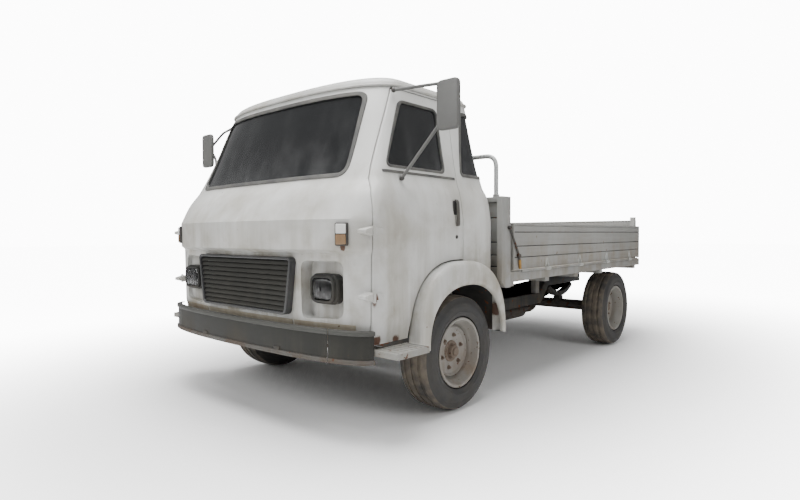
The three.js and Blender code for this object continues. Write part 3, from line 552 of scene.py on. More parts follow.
def relief(tree, shader, height, strength, distance=0.002):
    made = shade(tree, "ShaderNodeBump", {"Height": height, "Strength": strength,
                                          "Distance": distance})
    tree.links.new(made.outputs[0], shader.inputs["Normal"])


def painted(name, coat, dirt_and_shade, top, bottom, amount=0.7, rust=(0.085, 0.040, 0.022), rarity=0.72,
            rough=(0.32, 0.62), spots=(), metallic=0.0, grain=(240.0, 5.0, 0.5), depth=0.12,
            chip_scale=28.0, streak=9.0):
    """A painted or plated metal with cloudy tone, dirt that runs down (on the roof partly painted
    shade), chips and rust patches.
    """
    tree, shader = begin(name)
    darker = tuple(c * 0.86 for c in coat)
    tone = blended(tree, use_group(tree, "Mottle", Scale=3.0), coat, darker)
    # Darkens the coat towards the bottom in streaks and clouds; on the roof this is partly painted
    # shade.
    dirt_and_shade_mask = maths(tree, "MULTIPLY", use_group(tree, "Running dirt and shade", Top=top, Bottom=bottom,
                                                  Scale=streak), amount, True)
    tone = blended(tree, dirt_and_shade_mask, tone, dirt_and_shade)
    chips = use_group(tree, "Chipped coat", Scale=chip_scale, Rarity=rarity)
    tone = blended(tree, chips, tone, rust)
    for centre, radius, drop in spots:
        patch = use_group(tree, "Rust patch", Centre=centre, Radius=radius, Drop=drop)
        tone = blended(tree, patch, tone, rust)
        chips = maths(tree, "MAXIMUM", chips, patch)
    tree.links.new(tone, shader.inputs["Base Color"])
    dull = maths(tree, "MAXIMUM", dirt_and_shade_mask, chips)
    tree.links.new(between(tree, dull, *rough), shader.inputs["Roughness"])
    shader.inputs["Metallic"].default_value = metallic
    shader.inputs["Specular IOR Level"].default_value = 0.5 if sum(coat) > 0.6 or metallic else 0.2
    height = use_group(tree, "Surface grain", Scale=grain[0], Dents=grain[1], Share=grain[2])
    height = maths(tree, "SUBTRACT", height, maths(tree, "MULTIPLY", chips, 0.4))
    relief(tree, shader, height, depth)
    return shader


def boards(name, coat, bare, dirt_and_shade, along_x, top, bottom, amount):
    """Painted boards whose grain shows through, with bare and rust-stained places."""
    tree, shader = begin(name)
    grain = use_group(tree, "Board grain", Along_X=along_x)
    worn = maths(tree, "MULTIPLY", grain, use_group(tree, "Mottle", Scale=4.0, Low=0.45, High=0.75))
    tone = blended(tree, use_group(tree, "Mottle", Scale=1.7), coat, tuple(c * 0.84 for c in coat))
    tone = blended(tree, maths(tree, "MULTIPLY", worn, 0.55), tone, bare)
    dirt_and_shade_mask = maths(tree, "MULTIPLY", use_group(tree, "Running dirt and shade", Top=top, Bottom=bottom),
                      amount, True)
    tone = blended(tree, dirt_and_shade_mask, tone, dirt_and_shade)
    stain = use_group(tree, "Chipped coat", Scale=17.0, Rarity=0.67)
    tone = blended(tree, maths(tree, "MULTIPLY", stain, 0.7), tone, BOARD_STAIN)
    tree.links.new(tone, shader.inputs["Base Color"])
    tree.links.new(between(tree, grain, 0.55, 0.82), shader.inputs["Roughness"])
    relief(tree, shader, grain, 0.25, 0.0015)


def rubbery(name, colour, dust, amount, rough=(0.62, 0.9), scale=120.0):
    tree, shader = begin(name)
    mask = maths(tree, "MULTIPLY", use_group(tree, "Mottle", Scale=9.0, Low=0.3, High=0.7), amount)
    tree.links.new(blended(tree, mask, colour, dust), shader.inputs["Base Color"])
    tree.links.new(between(tree, mask, *rough), shader.inputs["Roughness"])
    relief(tree, shader, use_group(tree, "Surface grain", Scale=scale, Dents=30.0, Share=0.3), 0.35)


def glassy(name, colour, rough, transmission, waves=0.0):
    tree, shader = begin(name)
    mask = use_group(tree, "Running dirt and shade", Top=2.3, Bottom=0.7, Scale=7.0)
    film = tuple(min(1.0, c + 0.06) for c in colour)
    tree.links.new(blended(tree, mask, colour, film), shader.inputs["Base Color"])
    tree.links.new(between(tree, mask, rough, rough + 0.12), shader.inputs["Roughness"])
    shader.inputs["Transmission Weight"].default_value = transmission
    shader.inputs["IOR"].default_value = 1.45
    if waves:
        tree_wave = shade(tree, "ShaderNodeTexWave", {"Vector": object_place(tree), "Scale": waves,
                                                      "Distortion": 0.4}, bands_direction="X")
        relief(tree, shader, tree_wave.outputs[1], 0.6, 0.003)
    else:
        relief(tree, shader, use_group(tree, "Surface grain", Scale=14.0, Dents=3.0, Share=0.7),
               0.03)


# ---------- cab skin ----------
def level_at(z):
    """The cab's lean-ins at a height: straight up to the waist, and eased above it."""
    rows = CAB_LEVELS
    i = max(0, min(len(rows) - 2, sum(1 for row in rows if row[0] <= z) - 1))
    low, high = rows[i], rows[i + 1]
    span = high[0] - low[0]
    t = (z - low[0]) / span
    if low[0] < 1.2:
        return [a + (b - a) * t for a, b in zip(low[1:], high[1:])]
    eased = []
    for k in range(1, 6):
        step = (high[k] - low[k]) / span
        before = after = step
        if low[0] > 1.2:
            last = (low[k] - rows[i - 1][k]) / (low[0] - rows[i - 1][0])
            before = 0 if last * step <= 0 else 2 * last * step / (last + step)
        if i + 2 < len(rows):
            following = (rows[i + 2][k] - high[k]) / (rows[i + 2][0] - high[0])
            after = 0 if following * step <= 0 else 2 * following * step / (following + step)
        a = (2 * t ** 3 - 3 * t ** 2 + 1) * low[k] + (t ** 3 - 2 * t ** 2 + t) * span * before
        eased.append(a + (3 * t ** 2 - 2 * t ** 3) * high[k] + (t ** 3 - t ** 2) * span * after)
    return eased


def skin_point(turn, z, inset=0.0):
    """A point of the cab's outline: 0-2 front, 2-3 left, 3-4 corner, 4-5 back, and so on to 7."""
    side, nose, depth, square, rear = level_at(z)
    half = CAB_HALF - side - inset
    shoulder = NOSE_Y + nose + depth
    back = CAB_REAR_Y - rear - inset
    radius = CORNER_RADIUS - inset
    if turn <= 2:
        angle = (turn - 1) * math.pi / 2
        across = math.copysign(abs(math.sin(angle)) ** (2 / square), math.sin(angle))
        ahead = max(0.0, math.cos(angle)) ** (2 / square)
        return (half * across, shoulder - (depth - inset) * ahead, z)
    if turn <= 3:
        return (half, shoulder + (back - radius - shoulder) * (turn - 2), z)
    if turn <= 4:
        angle = (turn - 3) * math.pi / 2
        return (half - radius * (1 - math.cos(angle)), back - radius * (1 - math.sin(angle)), z)
    if turn <= 5:
        return ((half - radius) * (1 - 2 * (turn - 4)), back, z)
    if turn <= 6:
        angle = (turn - 5) * math.pi / 2
        return (radius * (1 - math.sin(angle)) - half, back - radius * (1 - math.cos(angle)), z)
    return (-half, back - radius + (shoulder - back + radius) * (turn - 6), z)


def spread(low, high, most):
    count = max(2, math.ceil((high - low) / most))
    return [low + (high - low) * i / count for i in range(count + 1)]


def heights(low, high, step=0.022):
    """Heights between two places that always include the cab's own levels."""
    marks = [low] + [row[0] for row in CAB_LEVELS if low + 0.004 < row[0] < high - 0.004] + [high]
    made = []
    for a, b in zip(marks, marks[1:]):
        made += spread(a, b, step)[:-1]
    return made + [high]


def skin_patch(turns, zs, outer, inner):
    """A closed piece of the cab's skin between two depths."""
    face = [[skin_point(t, z, outer) for t in turns] for z in zs]
    back = [[skin_point(t, z, inner) for t in turns] for z in zs]
    rows, columns = len(zs), len(turns)
    points = [p for row in face for p in row] + [p for row in back for p in row]
    half = rows * columns
    faces = []
    for r in range(rows - 1):
        for c in range(columns - 1):
            quad = (r * columns + c, r * columns + c + 1, (r + 1) * columns + c + 1,
                    (r + 1) * columns + c)
            faces += [quad, tuple(half + i for i in reversed(quad))]
    rim = [(0, c) for c in range(columns)] + [(r, columns - 1) for r in range(1, rows)]
    rim += [(rows - 1, c) for c in range(columns - 2, -1, -1)]
    rim += [(r, 0) for r in range(rows - 2, 0, -1)]
    flat = [r * columns + c for r, c in rim]
    for a, b in zip(flat, flat[1:] + flat[:1]):
        faces.append((b, a, half + a, half + b))
    return from_faces("skin", points, faces)


def front_turns(low=0.0, high=2.0, steps=44):
    return [low + (high - low) * i / steps for i in range(steps + 1)]


def side_turns(low=1.25, high=3.0):
    return spread(low, 2.0, 0.035)[:-1] + spread(2.0, high, 0.08)


def skin_solid(inset, low=0.5, high=1.99):
    turns = front_turns(steps=64) + spread(2, 3, 0.25)[1:] + spread(3, 4, 0.15)[1:]
    turns += spread(4, 5, 0.25)[1:] + spread(5, 6, 0.15)[1:] + spread(6, 7, 0.25)[1:-1]
    return loft([[skin_point(t, z, inset) for t in turns] for z in heights(low, high)])


def arch_points(centre, half, top, square, grow):
    """The arch's outline of [y, z] points from its front foot to its rear foot."""
    points = []
    for i in range(ARCH_STEPS + 1):
        angle = math.pi * i / ARCH_STEPS
        c, s = math.cos(angle), math.sin(angle)
        along = -math.copysign(abs(c) ** (2 / square), c)
        points.append((AXLE_Y + centre + (half + grow) * along,
                       ARCH_BASE + (top - ARCH_BASE + grow) * max(0.0, s) ** (2 / square)))
    return points


def outer_arch(grow=0.0):
    return arch_points(-0.008, 0.470, 0.950, 2.5, grow)


def inner_arch(grow=0.0):
    return arch_points(0.027, 0.402, 0.798, 2.3, grow)


def arch_tool(grow):
    points = outer_arch(grow)
    points = [(points[0][0], 0.2)] + points + [(points[-1][0], 0.2)]
    return prism(points, "x", 0.6, REACH)


def door_tool(inset):
    outline = [
        (DOOR_FRONT_Y + inset, DOOR_BOTTOM + inset), (DOOR_REAR_Y - inset, DOOR_BOTTOM + inset),
        (DOOR_REAR_Y - inset, 1.335), (DOOR_REAR_Y + 0.05 - inset, DOOR_TOP - inset),
        (PILLAR_TOP_Y + inset * PILLAR_SLANT, DOOR_TOP - inset),
        (PILLAR_FOOT_Y + inset * PILLAR_SLANT, 1.419), (DOOR_FRONT_Y + 0.03 + inset, 1.330),
        (DOOR_FRONT_Y + inset, 1.200)]
    return prism(outline, "x", 0.6, REACH)


def pillar_tool():
    outline = [(0, 0.45), (0.8, 0.45), (0.8, 1.45), (0.768, 1.96), (0.768, 2.012), (0, 2.012)]
    return prism(outline, "y", AHEAD_Y, PILLAR_TOP_Y + 0.12)


def door_window(grow):
    low, high, ahead = WINDOW_FOOT - grow, 1.908 + grow, AXLE_Y - grow * PILLAR_SLANT
    corners = [(ahead - 0.605, low), (AXLE_Y - 0.058 + grow, low), (AXLE_Y - 0.042 + grow, high),
               (ahead - 0.402, high)]
    return prism(rounded(corners, 0.045 + grow, 8), "x", INSIDE_DOOR, REACH)


def quarter_window(grow):
    behind = CAB_REAR_Y + 0.05
    corners = [(AXLE_Y + 0.112 - grow, WINDOW_FOOT - grow), (behind, WINDOW_FOOT - grow),
               (behind, 1.932 + grow), (AXLE_Y + 0.222 - grow, 1.932 + grow)]
    return prism(rounded(corners, 0.040 + grow, 8), "x", 0.782 - grow, REACH)


def windscreen_tool(grow):
    corners = [(-0.752 - grow, 1.448 - grow), (0.752 + grow, 1.448 - grow),
               (0.713 + grow, 1.955 + grow), (-0.713 - grow, 1.955 + grow)]
    return prism(rounded(corners, 0.070 + grow, 8), "y", AHEAD_Y, AXLE_Y - 0.15)


def rear_window(grow):
    corners = [(-0.480 - grow, 1.470 - grow), (0.480 + grow, 1.470 - grow),
               (0.480 + grow, 1.850 + grow), (-0.480 - grow, 1.850 + grow)]
    return prism(rounded(corners, 0.055 + grow, 8), "y", CAB_REAR_Y - 0.2, CAB_REAR_Y + 0.05)


def grille_points(grow):
    corners = [(-0.450 - grow, 0.660 - grow), (0.450 + grow, 0.660 - grow),
               (0.500 + grow, 0.990 + grow), (-0.500 - grow, 0.990 + grow)]
    return rounded(corners, 0.036 + max(grow, -0.02))


def recess_points(grow):
    corners = [(0.535 - grow, 0.645 - grow), (0.830 + grow, 0.665 - grow),
               (0.830 + grow, 0.975 + grow), (0.535 - grow, 0.972 + grow)]
    return rounded(corners, 0.050 + grow)


def rectangle(x0, z0, x1, z1, radius, steps=6):
    """A rectangle's outline with round corners."""
    return rounded([(x0, z0), (x1, z0), (x1, z1), (x0, z1)], radius, steps)


def lamp_points(half_width, half_height, radius):
    return rectangle(LAMP_X - half_width, LAMP_Z - half_height, LAMP_X + half_width,
                     LAMP_Z + half_height, radius)


# ---------- sizes and colours ----------
class TruckSizes(bpy.types.PropertyGroup):
    edge: bpy.props.FloatProperty(name="Sheet edge", description="Rounding on cut sheet edges",
                                  default=0.0018, unit="LENGTH")
    seal: bpy.props.FloatProperty(name="Seal width", description="Rubber shown round each pane",
                                  default=0.016, unit="LENGTH")
    slat_tilt: bpy.props.FloatProperty(name="Slat tilt", description="Lean of the grille slats",
                                       default=math.radians(32), subtype="ANGLE")
    slats: bpy.props.IntProperty(name="Slats", description="Slats in the grille", default=10)
    board_gap: bpy.props.FloatProperty(name="Board gap", description="Gap between bed boards",
                                       default=0.006, unit="LENGTH")
    wheel_bolts: bpy.props.IntProperty(name="Wheel bolts", description="Bolts on each wheel",
                                       default=6)
    cushion_swell: bpy.props.FloatProperty(name="Cushion swell",
                                           description="Most that a seat's cover moves out",
                                           default=0.022, unit="LENGTH")
    floor_radius: bpy.props.FloatProperty(name="Floor radius", description="Half size of the floor",
                                          default=60.0, unit="LENGTH")


class TruckColours(bpy.types.PropertyGroup):
    cab: bpy.props.FloatVectorProperty(name="Cab coat", description="Off-white cab paint",
                                       default=(0.56, 0.56, 0.54), subtype="COLOR")
    cab_low_tone: bpy.props.FloatVectorProperty(name="Cab low tone", description="Tone the cab turns to towards the bottom",
                                            default=(0.285, 0.262, 0.212), subtype="COLOR")
    bed: bpy.props.FloatVectorProperty(name="Bed coat", description="Warm grey paint of the bed",
                                       default=(0.27, 0.27, 0.257), subtype="COLOR")
    bumper: bpy.props.FloatVectorProperty(name="Bumper coat", description="Dark grey-green paint",
                                          default=(0.024, 0.024, 0.021), subtype="COLOR")
    chassis: bpy.props.FloatVectorProperty(name="Chassis coat", description="Frame paint",
                                           default=(0.035, 0.036, 0.036), subtype="COLOR")
    wheel: bpy.props.FloatVectorProperty(name="Wheel coat", description="Grey-beige wheel paint",
                                         default=(0.215, 0.205, 0.185), subtype="COLOR")
    glass: bpy.props.FloatVectorProperty(name="Glass tint", description="Dark tint of the panes",
                                         default=(0.016, 0.017, 0.018), subtype="COLOR")


def sizes():
    return bpy.context.scene.truck_sizes


def colours():
    return bpy.context.scene.truck_colours


class Piece:
    """One piece, or a group of like pieces, of the truck"""
    def execute(self, context):
        clear_selection()
        self.build(sizes())
        return {"FINISHED"}


class TRUCK_OT_finishes(bpy.types.Operator):
    """Make every material and the node groups that they share"""
    bl_idname = "truck.finishes"
    bl_label = "Finishes"

    def execute(self, context):
        for make in (make_streak_group, make_chip_group, make_spot_group, make_mottle_group,
                     make_grain_group, make_wood_group):
            make()
        c = colours()
        cab_spots = [((1.07, -1.59, 0.86), 0.09, 0.6), ((-1.07, -1.59, 0.86), 0.07, 0.6),
                     ((0.99, -1.905, 0.545), 0.06, 0.9), ((1.0, -0.73, 0.60), 0.07, 0.7),
                     ((1.005, -1.935, 0.765), 0.042, 0.5), ((0.86, -2.035, 1.050), 0.028, 0.5),
                     ((1.0, -1.75, 0.535), 0.06, 1.0), ((-0.99, -1.925, 0.56), 0.07, 0.9)]
        # The cab coat turns darker and browner towards the bottom, from above the roof down to the
        # sills, in streaks and clouds.
        painted("cab coat", c.cab, c.cab_low_tone, 2.05, 0.40, 0.95, rarity=0.725, spots=cab_spots,
                rough=(0.32, 0.62), grain=(300.0, 4.0, 0.6), depth=0.10, streak=7.0)
        # The roof's coat is the cab coat made a fifth darker. Its running mask, heavy down to the
        # gutter, is partly beige drip-rail dirt and partly a painted shadow line along the roof's
        # lower rim.
        painted("roof coat", tuple(0.80 * part for part in c.cab), (0.26, 0.235, 0.18), 2.12, 1.90,
                0.9, rarity=0.73, rough=(0.4, 0.7), grain=(300.0, 4.0, 0.6), streak=5.0)
        painted("nose dirt strip", (0.30, 0.27, 0.21), (0.17, 0.13, 0.09), 0.70, 0.56, 0.9,
                rough=(0.6, 0.85), rarity=0.68, depth=0.3)
        painted("bumper coat", c.bumper, (0.060, 0.053, 0.042), 0.64, 0.42, 0.55, rarity=0.735,
                rough=(0.42, 0.75), chip_scale=40.0)
        painted("bumper lip coat", (0.070, 0.070, 0.064), (0.085, 0.072, 0.056), 0.62, 0.40, 0.6,
                rarity=0.72, rough=(0.45, 0.8), chip_scale=30.0)
        painted("bumper foot coat", (0.090, 0.086, 0.078), (0.085, 0.066, 0.052), 0.60, 0.40, 0.9,
                rarity=0.66, rough=(0.5, 0.8), chip_scale=30.0)
        painted("grille slat coat", (0.036, 0.036, 0.032), (0.062, 0.056, 0.046), 1.0, 0.62, 0.5,
                rough=(0.5, 0.8), rarity=0.75)
        painted("grille frame coat", (0.056, 0.057, 0.058), (0.07, 0.064, 0.054), 0.95, 0.6, 0.5,
                rough=(0.35, 0.65), metallic=0.2, rarity=0.74)
        painted("lamp housing coat", (0.030, 0.030, 0.028), (0.095, 0.083, 0.066), 0.92, 0.66, 0.5,
                rough=(0.42, 0.7), rarity=0.76)
        painted("lamp reflector", (0.86, 0.87, 0.88), (0.6, 0.59, 0.55), 0.84, 0.7, 0.3,
                rough=(0.12, 0.3), metallic=1.0, rarity=0.85, depth=0.02)
        painted("chassis coat", c.chassis, (0.13, 0.105, 0.075), 0.80, 0.30, 0.8, rarity=0.64,
                rough=(0.55, 0.85), rust=(0.13, 0.05, 0.022), chip_scale=18.0, depth=0.35)
        painted("drive iron", (0.055, 0.05, 0.045), (0.12, 0.095, 0.07), 0.7, 0.1, 0.7, rarity=0.58,
                rough=(0.6, 0.85), metallic=0.4, chip_scale=14.0, depth=0.5)
        painted("engine alloy", (0.24, 0.24, 0.235), (0.09, 0.075, 0.06), 0.95, 0.4, 0.8,
                rarity=0.62, rough=(0.5, 0.8), metallic=0.6, depth=0.5)
        painted("tank coat", (0.05, 0.05, 0.052), (0.14, 0.115, 0.09), 0.6, 0.3, 0.8,
                rough=(0.4, 0.75), rarity=0.68)
        painted("wheel coat", c.wheel, (0.16, 0.12, 0.085), 0.75, 0.0, 0.8, rarity=0.64,
                rough=(0.5, 0.8), chip_scale=34.0, depth=0.25)
        painted("hub rust", (0.155, 0.12, 0.09), (0.09, 0.06, 0.04), 0.6, 0.1, 0.8, rarity=0.60,
                rough=(0.6, 0.85), metallic=0.3, chip_scale=60.0, depth=0.5)
        painted("galvanised steel", (0.50, 0.51, 0.50), (0.30, 0.25, 0.19), 0.95, 0.8, 0.6,
                rough=(0.35, 0.65), metallic=0.75, rarity=0.66, chip_scale=50.0)
        painted("dark steel", (0.06, 0.058, 0.055), (0.16, 0.12, 0.085), 1.2, 0.8, 0.6,
                rough=(0.45, 0.75), metallic=0.6, rarity=0.62)
        painted("ochre grip", (0.34, 0.19, 0.055), (0.18, 0.11, 0.05), 1.1, 0.85, 0.6,
                rough=(0.5, 0.8), rarity=0.66)
        painted("bed tube coat", (0.40, 0.41, 0.40), (0.24, 0.22, 0.18), 1.8, 0.9, 0.5,
                rough=(0.38, 0.65), rarity=0.70)
        painted("bed steel coat", (0.255, 0.255, 0.243), (0.18, 0.16, 0.13), 1.5, 0.70, 0.75,
                rough=(0.45, 0.75), rarity=0.71)
        painted("step coat", (0.23, 0.228, 0.212), (0.20, 0.172, 0.132), 0.56, 0.46, 0.9,
                rough=(0.5, 0.8), rarity=0.64)
        painted("mirror coat", (0.125, 0.125, 0.120), (0.10, 0.092, 0.078), 2.0, 1.5, 0.4,
                rough=(0.38, 0.6), rarity=0.74)
        painted("mirror silver", (0.85, 0.86, 0.87), (0.6, 0.6, 0.58), 1.75, 1.66, 0.3,
                rough=(0.03, 0.2), metallic=1.0, rarity=0.82, depth=0.01)
        painted("handle coat", (0.085, 0.083, 0.076), (0.10, 0.08, 0.06), 1.4, 1.1, 0.5,
                rough=(0.4, 0.7), rarity=0.66, metallic=0.3)
        painted("cab lining", (0.16, 0.16, 0.155), (0.09, 0.08, 0.065), 1.4, 0.5, 0.7,
                rough=(0.6, 0.85), rarity=0.74)
        painted("dashboard plastic", (0.045, 0.045, 0.045), (0.10, 0.09, 0.075), 1.3, 1.1, 0.4,
                rough=(0.55, 0.75), rarity=0.8, depth=0.4, grain=(500.0, 20.0, 0.2))
        boards("bed board paint", c.bed, (0.22, 0.20, 0.17), (0.20, 0.175, 0.14), 0.0, 1.25, 0.78,
               0.8)
        boards("headboard paint", c.bed, (0.22, 0.20, 0.17), (0.20, 0.175, 0.14), 1.0, 1.4, 0.74,
               0.75)
        boards("deck board paint", (0.33, 0.31, 0.27), (0.24, 0.18, 0.12), (0.20, 0.16, 0.12), 0.0,
               0.9, 0.7, 0.8)
        rubbery("tyre wall", (0.016, 0.016, 0.016), (0.055, 0.049, 0.040), 0.5)
        rubbery("tyre tread", (0.036, 0.033, 0.030), (0.15, 0.125, 0.094), 0.85, scale=60.0)
        rubbery("window rubber", (0.045, 0.045, 0.043), (0.115, 0.112, 0.100), 0.7)
        rubbery("seat cloth", (0.055, 0.057, 0.06), (0.11, 0.105, 0.095), 0.5, (0.8, 0.95), 700.0)
        glassy("tinted glass", c.glass, 0.05, 0.35)
        glassy("lamp lens", (0.96, 0.97, 0.97), 0.03, 1.0, waves=16.0)
        glassy("clear marker lens", (0.85, 0.85, 0.82), 0.10, 0.25, waves=40.0)
        glassy("amber marker lens", (0.27, 0.155, 0.065), 0.12, 0.25, waves=40.0)
        return {"FINISHED"}


class TRUCK_OT_front_panel(Piece, bpy.types.Operator):
    """Press the nose, with lamp recesses, the grille opening and the windscreen's frame"""
    bl_idname = "truck.front_panel"
    bl_label = "Front panel"

    def build(self, size):
        panel = skin_patch(front_turns(steps=88), heights(0.512, ROOF_BASE), 0.0, SHEET)
        front, foot, pillar = DOOR_FRONT_Y - 0.001, PILLAR_FOOT_Y - 0.001, PILLAR_TOP_Y - 0.001
        ahead = [(AHEAD_Y, 0.505), (front, 0.505), (front, 1.2), (front + 0.03, 1.33),
                 (foot, 1.419), (pillar, DOOR_TOP), (PILLAR_TOP_Y + 0.014, SKIN_TOP),
                 (AHEAD_Y, SKIN_TOP)]
        keep(panel, prism(ahead, "x", -REACH, REACH))
        cut(panel, windscreen_tool(0), prism(grille_points(0.001), "y", AHEAD_Y, NOSE_Y + 0.15))
        left = recess_points(0)
        for outline in (left, [(-x, z) for x, z in left]):
            cut(panel, prism(outline, "y", AHEAD_Y, RECESS_Y))
        soften(panel, size.edge)
        place(panel, "front_panel_skin", *CAB_COAT, ("front_panel",), 24)

        tray = prism(recess_points(0.004), "y", NOSE_Y, RECESS_Y + 0.004)
        keep(tray, skin_solid(0.0015))
        cut(tray, prism(left, "y", AHEAD_Y, RECESS_Y))
        place_pair(soften(tray, 0.001), "lamp_tray_{}", *CAB_COAT)

        frame_shell = skin_patch(front_turns(0.05, 1.95, 66), heights(1.40, 1.985), *FLANGE)
        keep(frame_shell, windscreen_tool(0.004))
        cut(frame_shell, windscreen_tool(-0.002))
        place(frame_shell, "windscreen_flange", *CAB_COAT)


class TRUCK_OT_nose_strip(Piece, bpy.types.Operator):
    """Bend the strip under the grille from three overlapping lengths"""
    bl_idname = "truck.nose_strip"
    bl_label = "Strip under the grille"

    def build(self, size):
        lengths = ("right", 0.29, 0.70), ("middle", 0.71, 1.29), ("left", 1.30, 1.71)
        for name, low, high in lengths:
            strip = skin_patch(spread(low, high, 0.03), spread(0.530, 0.634, 0.02), -0.0035, 0.0)
            place(soften(strip, 0.0012), "nose_strip_" + name, "chassis", "cab_paint",
                  "nose dirt strip")
        for turn in (0.42, 0.86, 1.14, 1.58):
            x, y, z = skin_point(turn, 0.585)
            bolt = bar((x, y + 0.002, z), (x, y - 0.008, z), 0.008, 12, 0.002)
            name = f"strip_bolt_{turn:.2f}".replace(".", "_")
            place(bolt, name, "chassis", "steel", "dark steel")


class TRUCK_OT_cab_sides(Piece, bpy.types.Operator):
    """Press the cab's sides behind the doors, with a rounded flare over each wheel"""
    bl_idname = "truck.cab_sides"
    bl_label = "Cab sides"

    def build(self, size):
        turns = spread(2.0, 3.0, 0.06) + spread(3.0, 4.4, 0.12)[1:]
        side = skin_patch(turns, heights(SIDE_FOOT, SKIN_TOP), 0.0, SHEET)
        keep(side, block((0.740, DOOR_REAR_Y, 0.4), (REACH, CAB_REAR_Y + 0.05, SKIN_TOP)))
        cut(side, quarter_window(0), door_tool(0), arch_tool(-0.004))
        header = skin_patch(side_turns(1.4, 3.0), heights(1.979, 1.9916, 0.006), 0.0, SHEET)
        keep(header, block((INSIDE_DOOR, PILLAR_TOP_Y + 0.016, 1.9),
                           (REACH, DOOR_REAR_Y + 0.045, SKIN_TOP)))
        side = soften(joined(side, header), size.edge)
        place_pair(side, "cab_side_skin_{}", *CAB_COAT, "cab_side_{}", 24)

        rim = skin_patch(turns, heights(1.45, 1.98), *FLANGE)
        keep(rim, quarter_window(0.004))
        cut(rim, quarter_window(-0.002), block((0.0, -2, 1.4), (0.770, 0, 2.0)))
        place_pair(rim, "quarter_flange_{}", *CAB_COAT)

        outside, inside = outer_arch(-0.003), outer_arch(-0.007)
        liner = prism(outside + inside[::-1], "x", 0.640, 0.984)
        place_pair(soften(liner, 0.001), "arch_liner_{}", *FRAME_COAT, angle=30)
        place_pair(self.flare(), "wheel_flare_{}", *CAB_COAT, angle=50)

    def flare(self):
        def row(x, share, grow):
            a, b = outer_arch(grow), inner_arch(grow)
            points = []
            for (y0, z0), (y1, z1) in zip(a, b):
                y = y0 + (y1 - y0) * share
                z = z0 + (z1 - z0) * share
                if x < 1.004:
                    y = min(y, CAB_REAR_Y - 0.014)
                points.append((x, y, z))
            return points

        face = ((0.985, 0.0), (1.030, 0.0), (1.048, 0.02), (1.060, 0.07), (1.067, 0.16),
                (1.070, 0.30), (1.070, 0.80), (1.067, 0.92), (1.060, 0.98), (1.046, 1.0))
        rows = [row(x, share, 0.0) for x, share in face]
        rows += [row(x - 0.004, min(share, 0.985), -0.003) for x, share in reversed(face)]
        points = [p for each in rows for p in each]
        total, count = len(rows), len(rows[0])
        faces = []
        for r in range(total):
            n = (r + 1) % total
            for c in range(count - 1):
                faces.append((r * count + c, r * count + c + 1, n * count + c + 1, n * count + c))
        faces.append(tuple(r * count for r in range(total)))
        faces.append(tuple(r * count + count - 1 for r in reversed(range(total))))
        return from_faces("flare", points, faces)


class TRUCK_OT_rear_wall(Piece, bpy.types.Operator):
    """Press the cab's back wall with two stiffening ribs and its window"""
    bl_idname = "truck.rear_wall"
    bl_label = "Rear wall"

    def build(self, size):
        wall = skin_patch(spread(4.02, 4.98, 0.04), heights(SIDE_FOOT, SKIN_TOP), 0.0, SHEET)
        keep(wall, block((-0.7396, -1.2, 0.5), (0.7396, -0.5, SKIN_TOP)))
        cut(wall, rear_window(0))
        soften(wall, size.edge)
        ribs = []
        for z in (1.20, 1.30):
            y = skin_point(4.5, z)[1]
            rib = block((-0.60, y - 0.004, z - 0.02), (0.60, y + 0.005, z + 0.02))
            ribs.append(soften(rib, 0.004))
        place(joined(wall, *ribs), "rear_wall_skin", *CAB_COAT,
              ("rear_wall",), 40)
        rim = skin_patch(spread(4.05, 4.95, 0.05), heights(1.43, 1.89), *FLANGE)
        keep(rim, rear_window(0.004))
        cut(rim, rear_window(-0.002))
        place(rim, "rear_window_flange", *CAB_COAT)


class TRUCK_OT_roof(Piece, bpy.types.Operator):
    """Crown the roof above its rain gutter"""
    bl_idname = "truck.roof"
    bl_label = "Roof"

    def ring(self, rise, inset):
        turns = front_turns(steps=72) + spread(2, 3, 0.12)[1:] + spread(3, 4, 0.12)[1:]
        turns += spread(4, 5, 0.08)[1:] + spread(5, 6, 0.12)[1:] + spread(6, 7, 0.12)[1:-1]
        side, nose, *_, rear = CAB_LEVELS[-1][1:]
        middle = (NOSE_Y + nose + CAB_REAR_Y - rear) / 2
        half = CAB_HALF - side
        share = 1 - max(0.0, inset - 0.06) / half
        ring = []
        for turn in turns:
            x, y, _ = skin_point(turn, ROOF_BASE, min(inset, 0.06))
            ring.append((x * share, middle + (y - middle) * share, ROOF_BASE + rise))
        return ring

    def build(self, size):
        outer = [(0.0, -0.004), (0.001, -0.012), (0.006, -0.0145), (0.012, -0.013),
                 (0.0145, -0.009), (0.0135, -0.003), (0.014, 0.001), (0.024, 0.004),
                 (0.036, 0.011), (0.048, 0.022), (0.058, 0.038), (0.067, 0.062), (0.0745, 0.10),
                 (0.081, 0.16), (0.086, 0.24), (0.0905, 0.34), (0.094, 0.47), (0.0955, 0.62)]
        inner = [(0.0, 0.004), (0.024, 0.012), (0.050, 0.040), (0.066, 0.10), (0.076, 0.20),
                 (0.084, 0.36), (0.0875, 0.55)]
        rows = [self.ring(*row) for row in reversed(inner)] + [self.ring(*row) for row in outer]
        roof = loft(rows)
        place(roof, "roof_skin", "chassis", "cab_paint", "roof coat", ("roof",), 50)


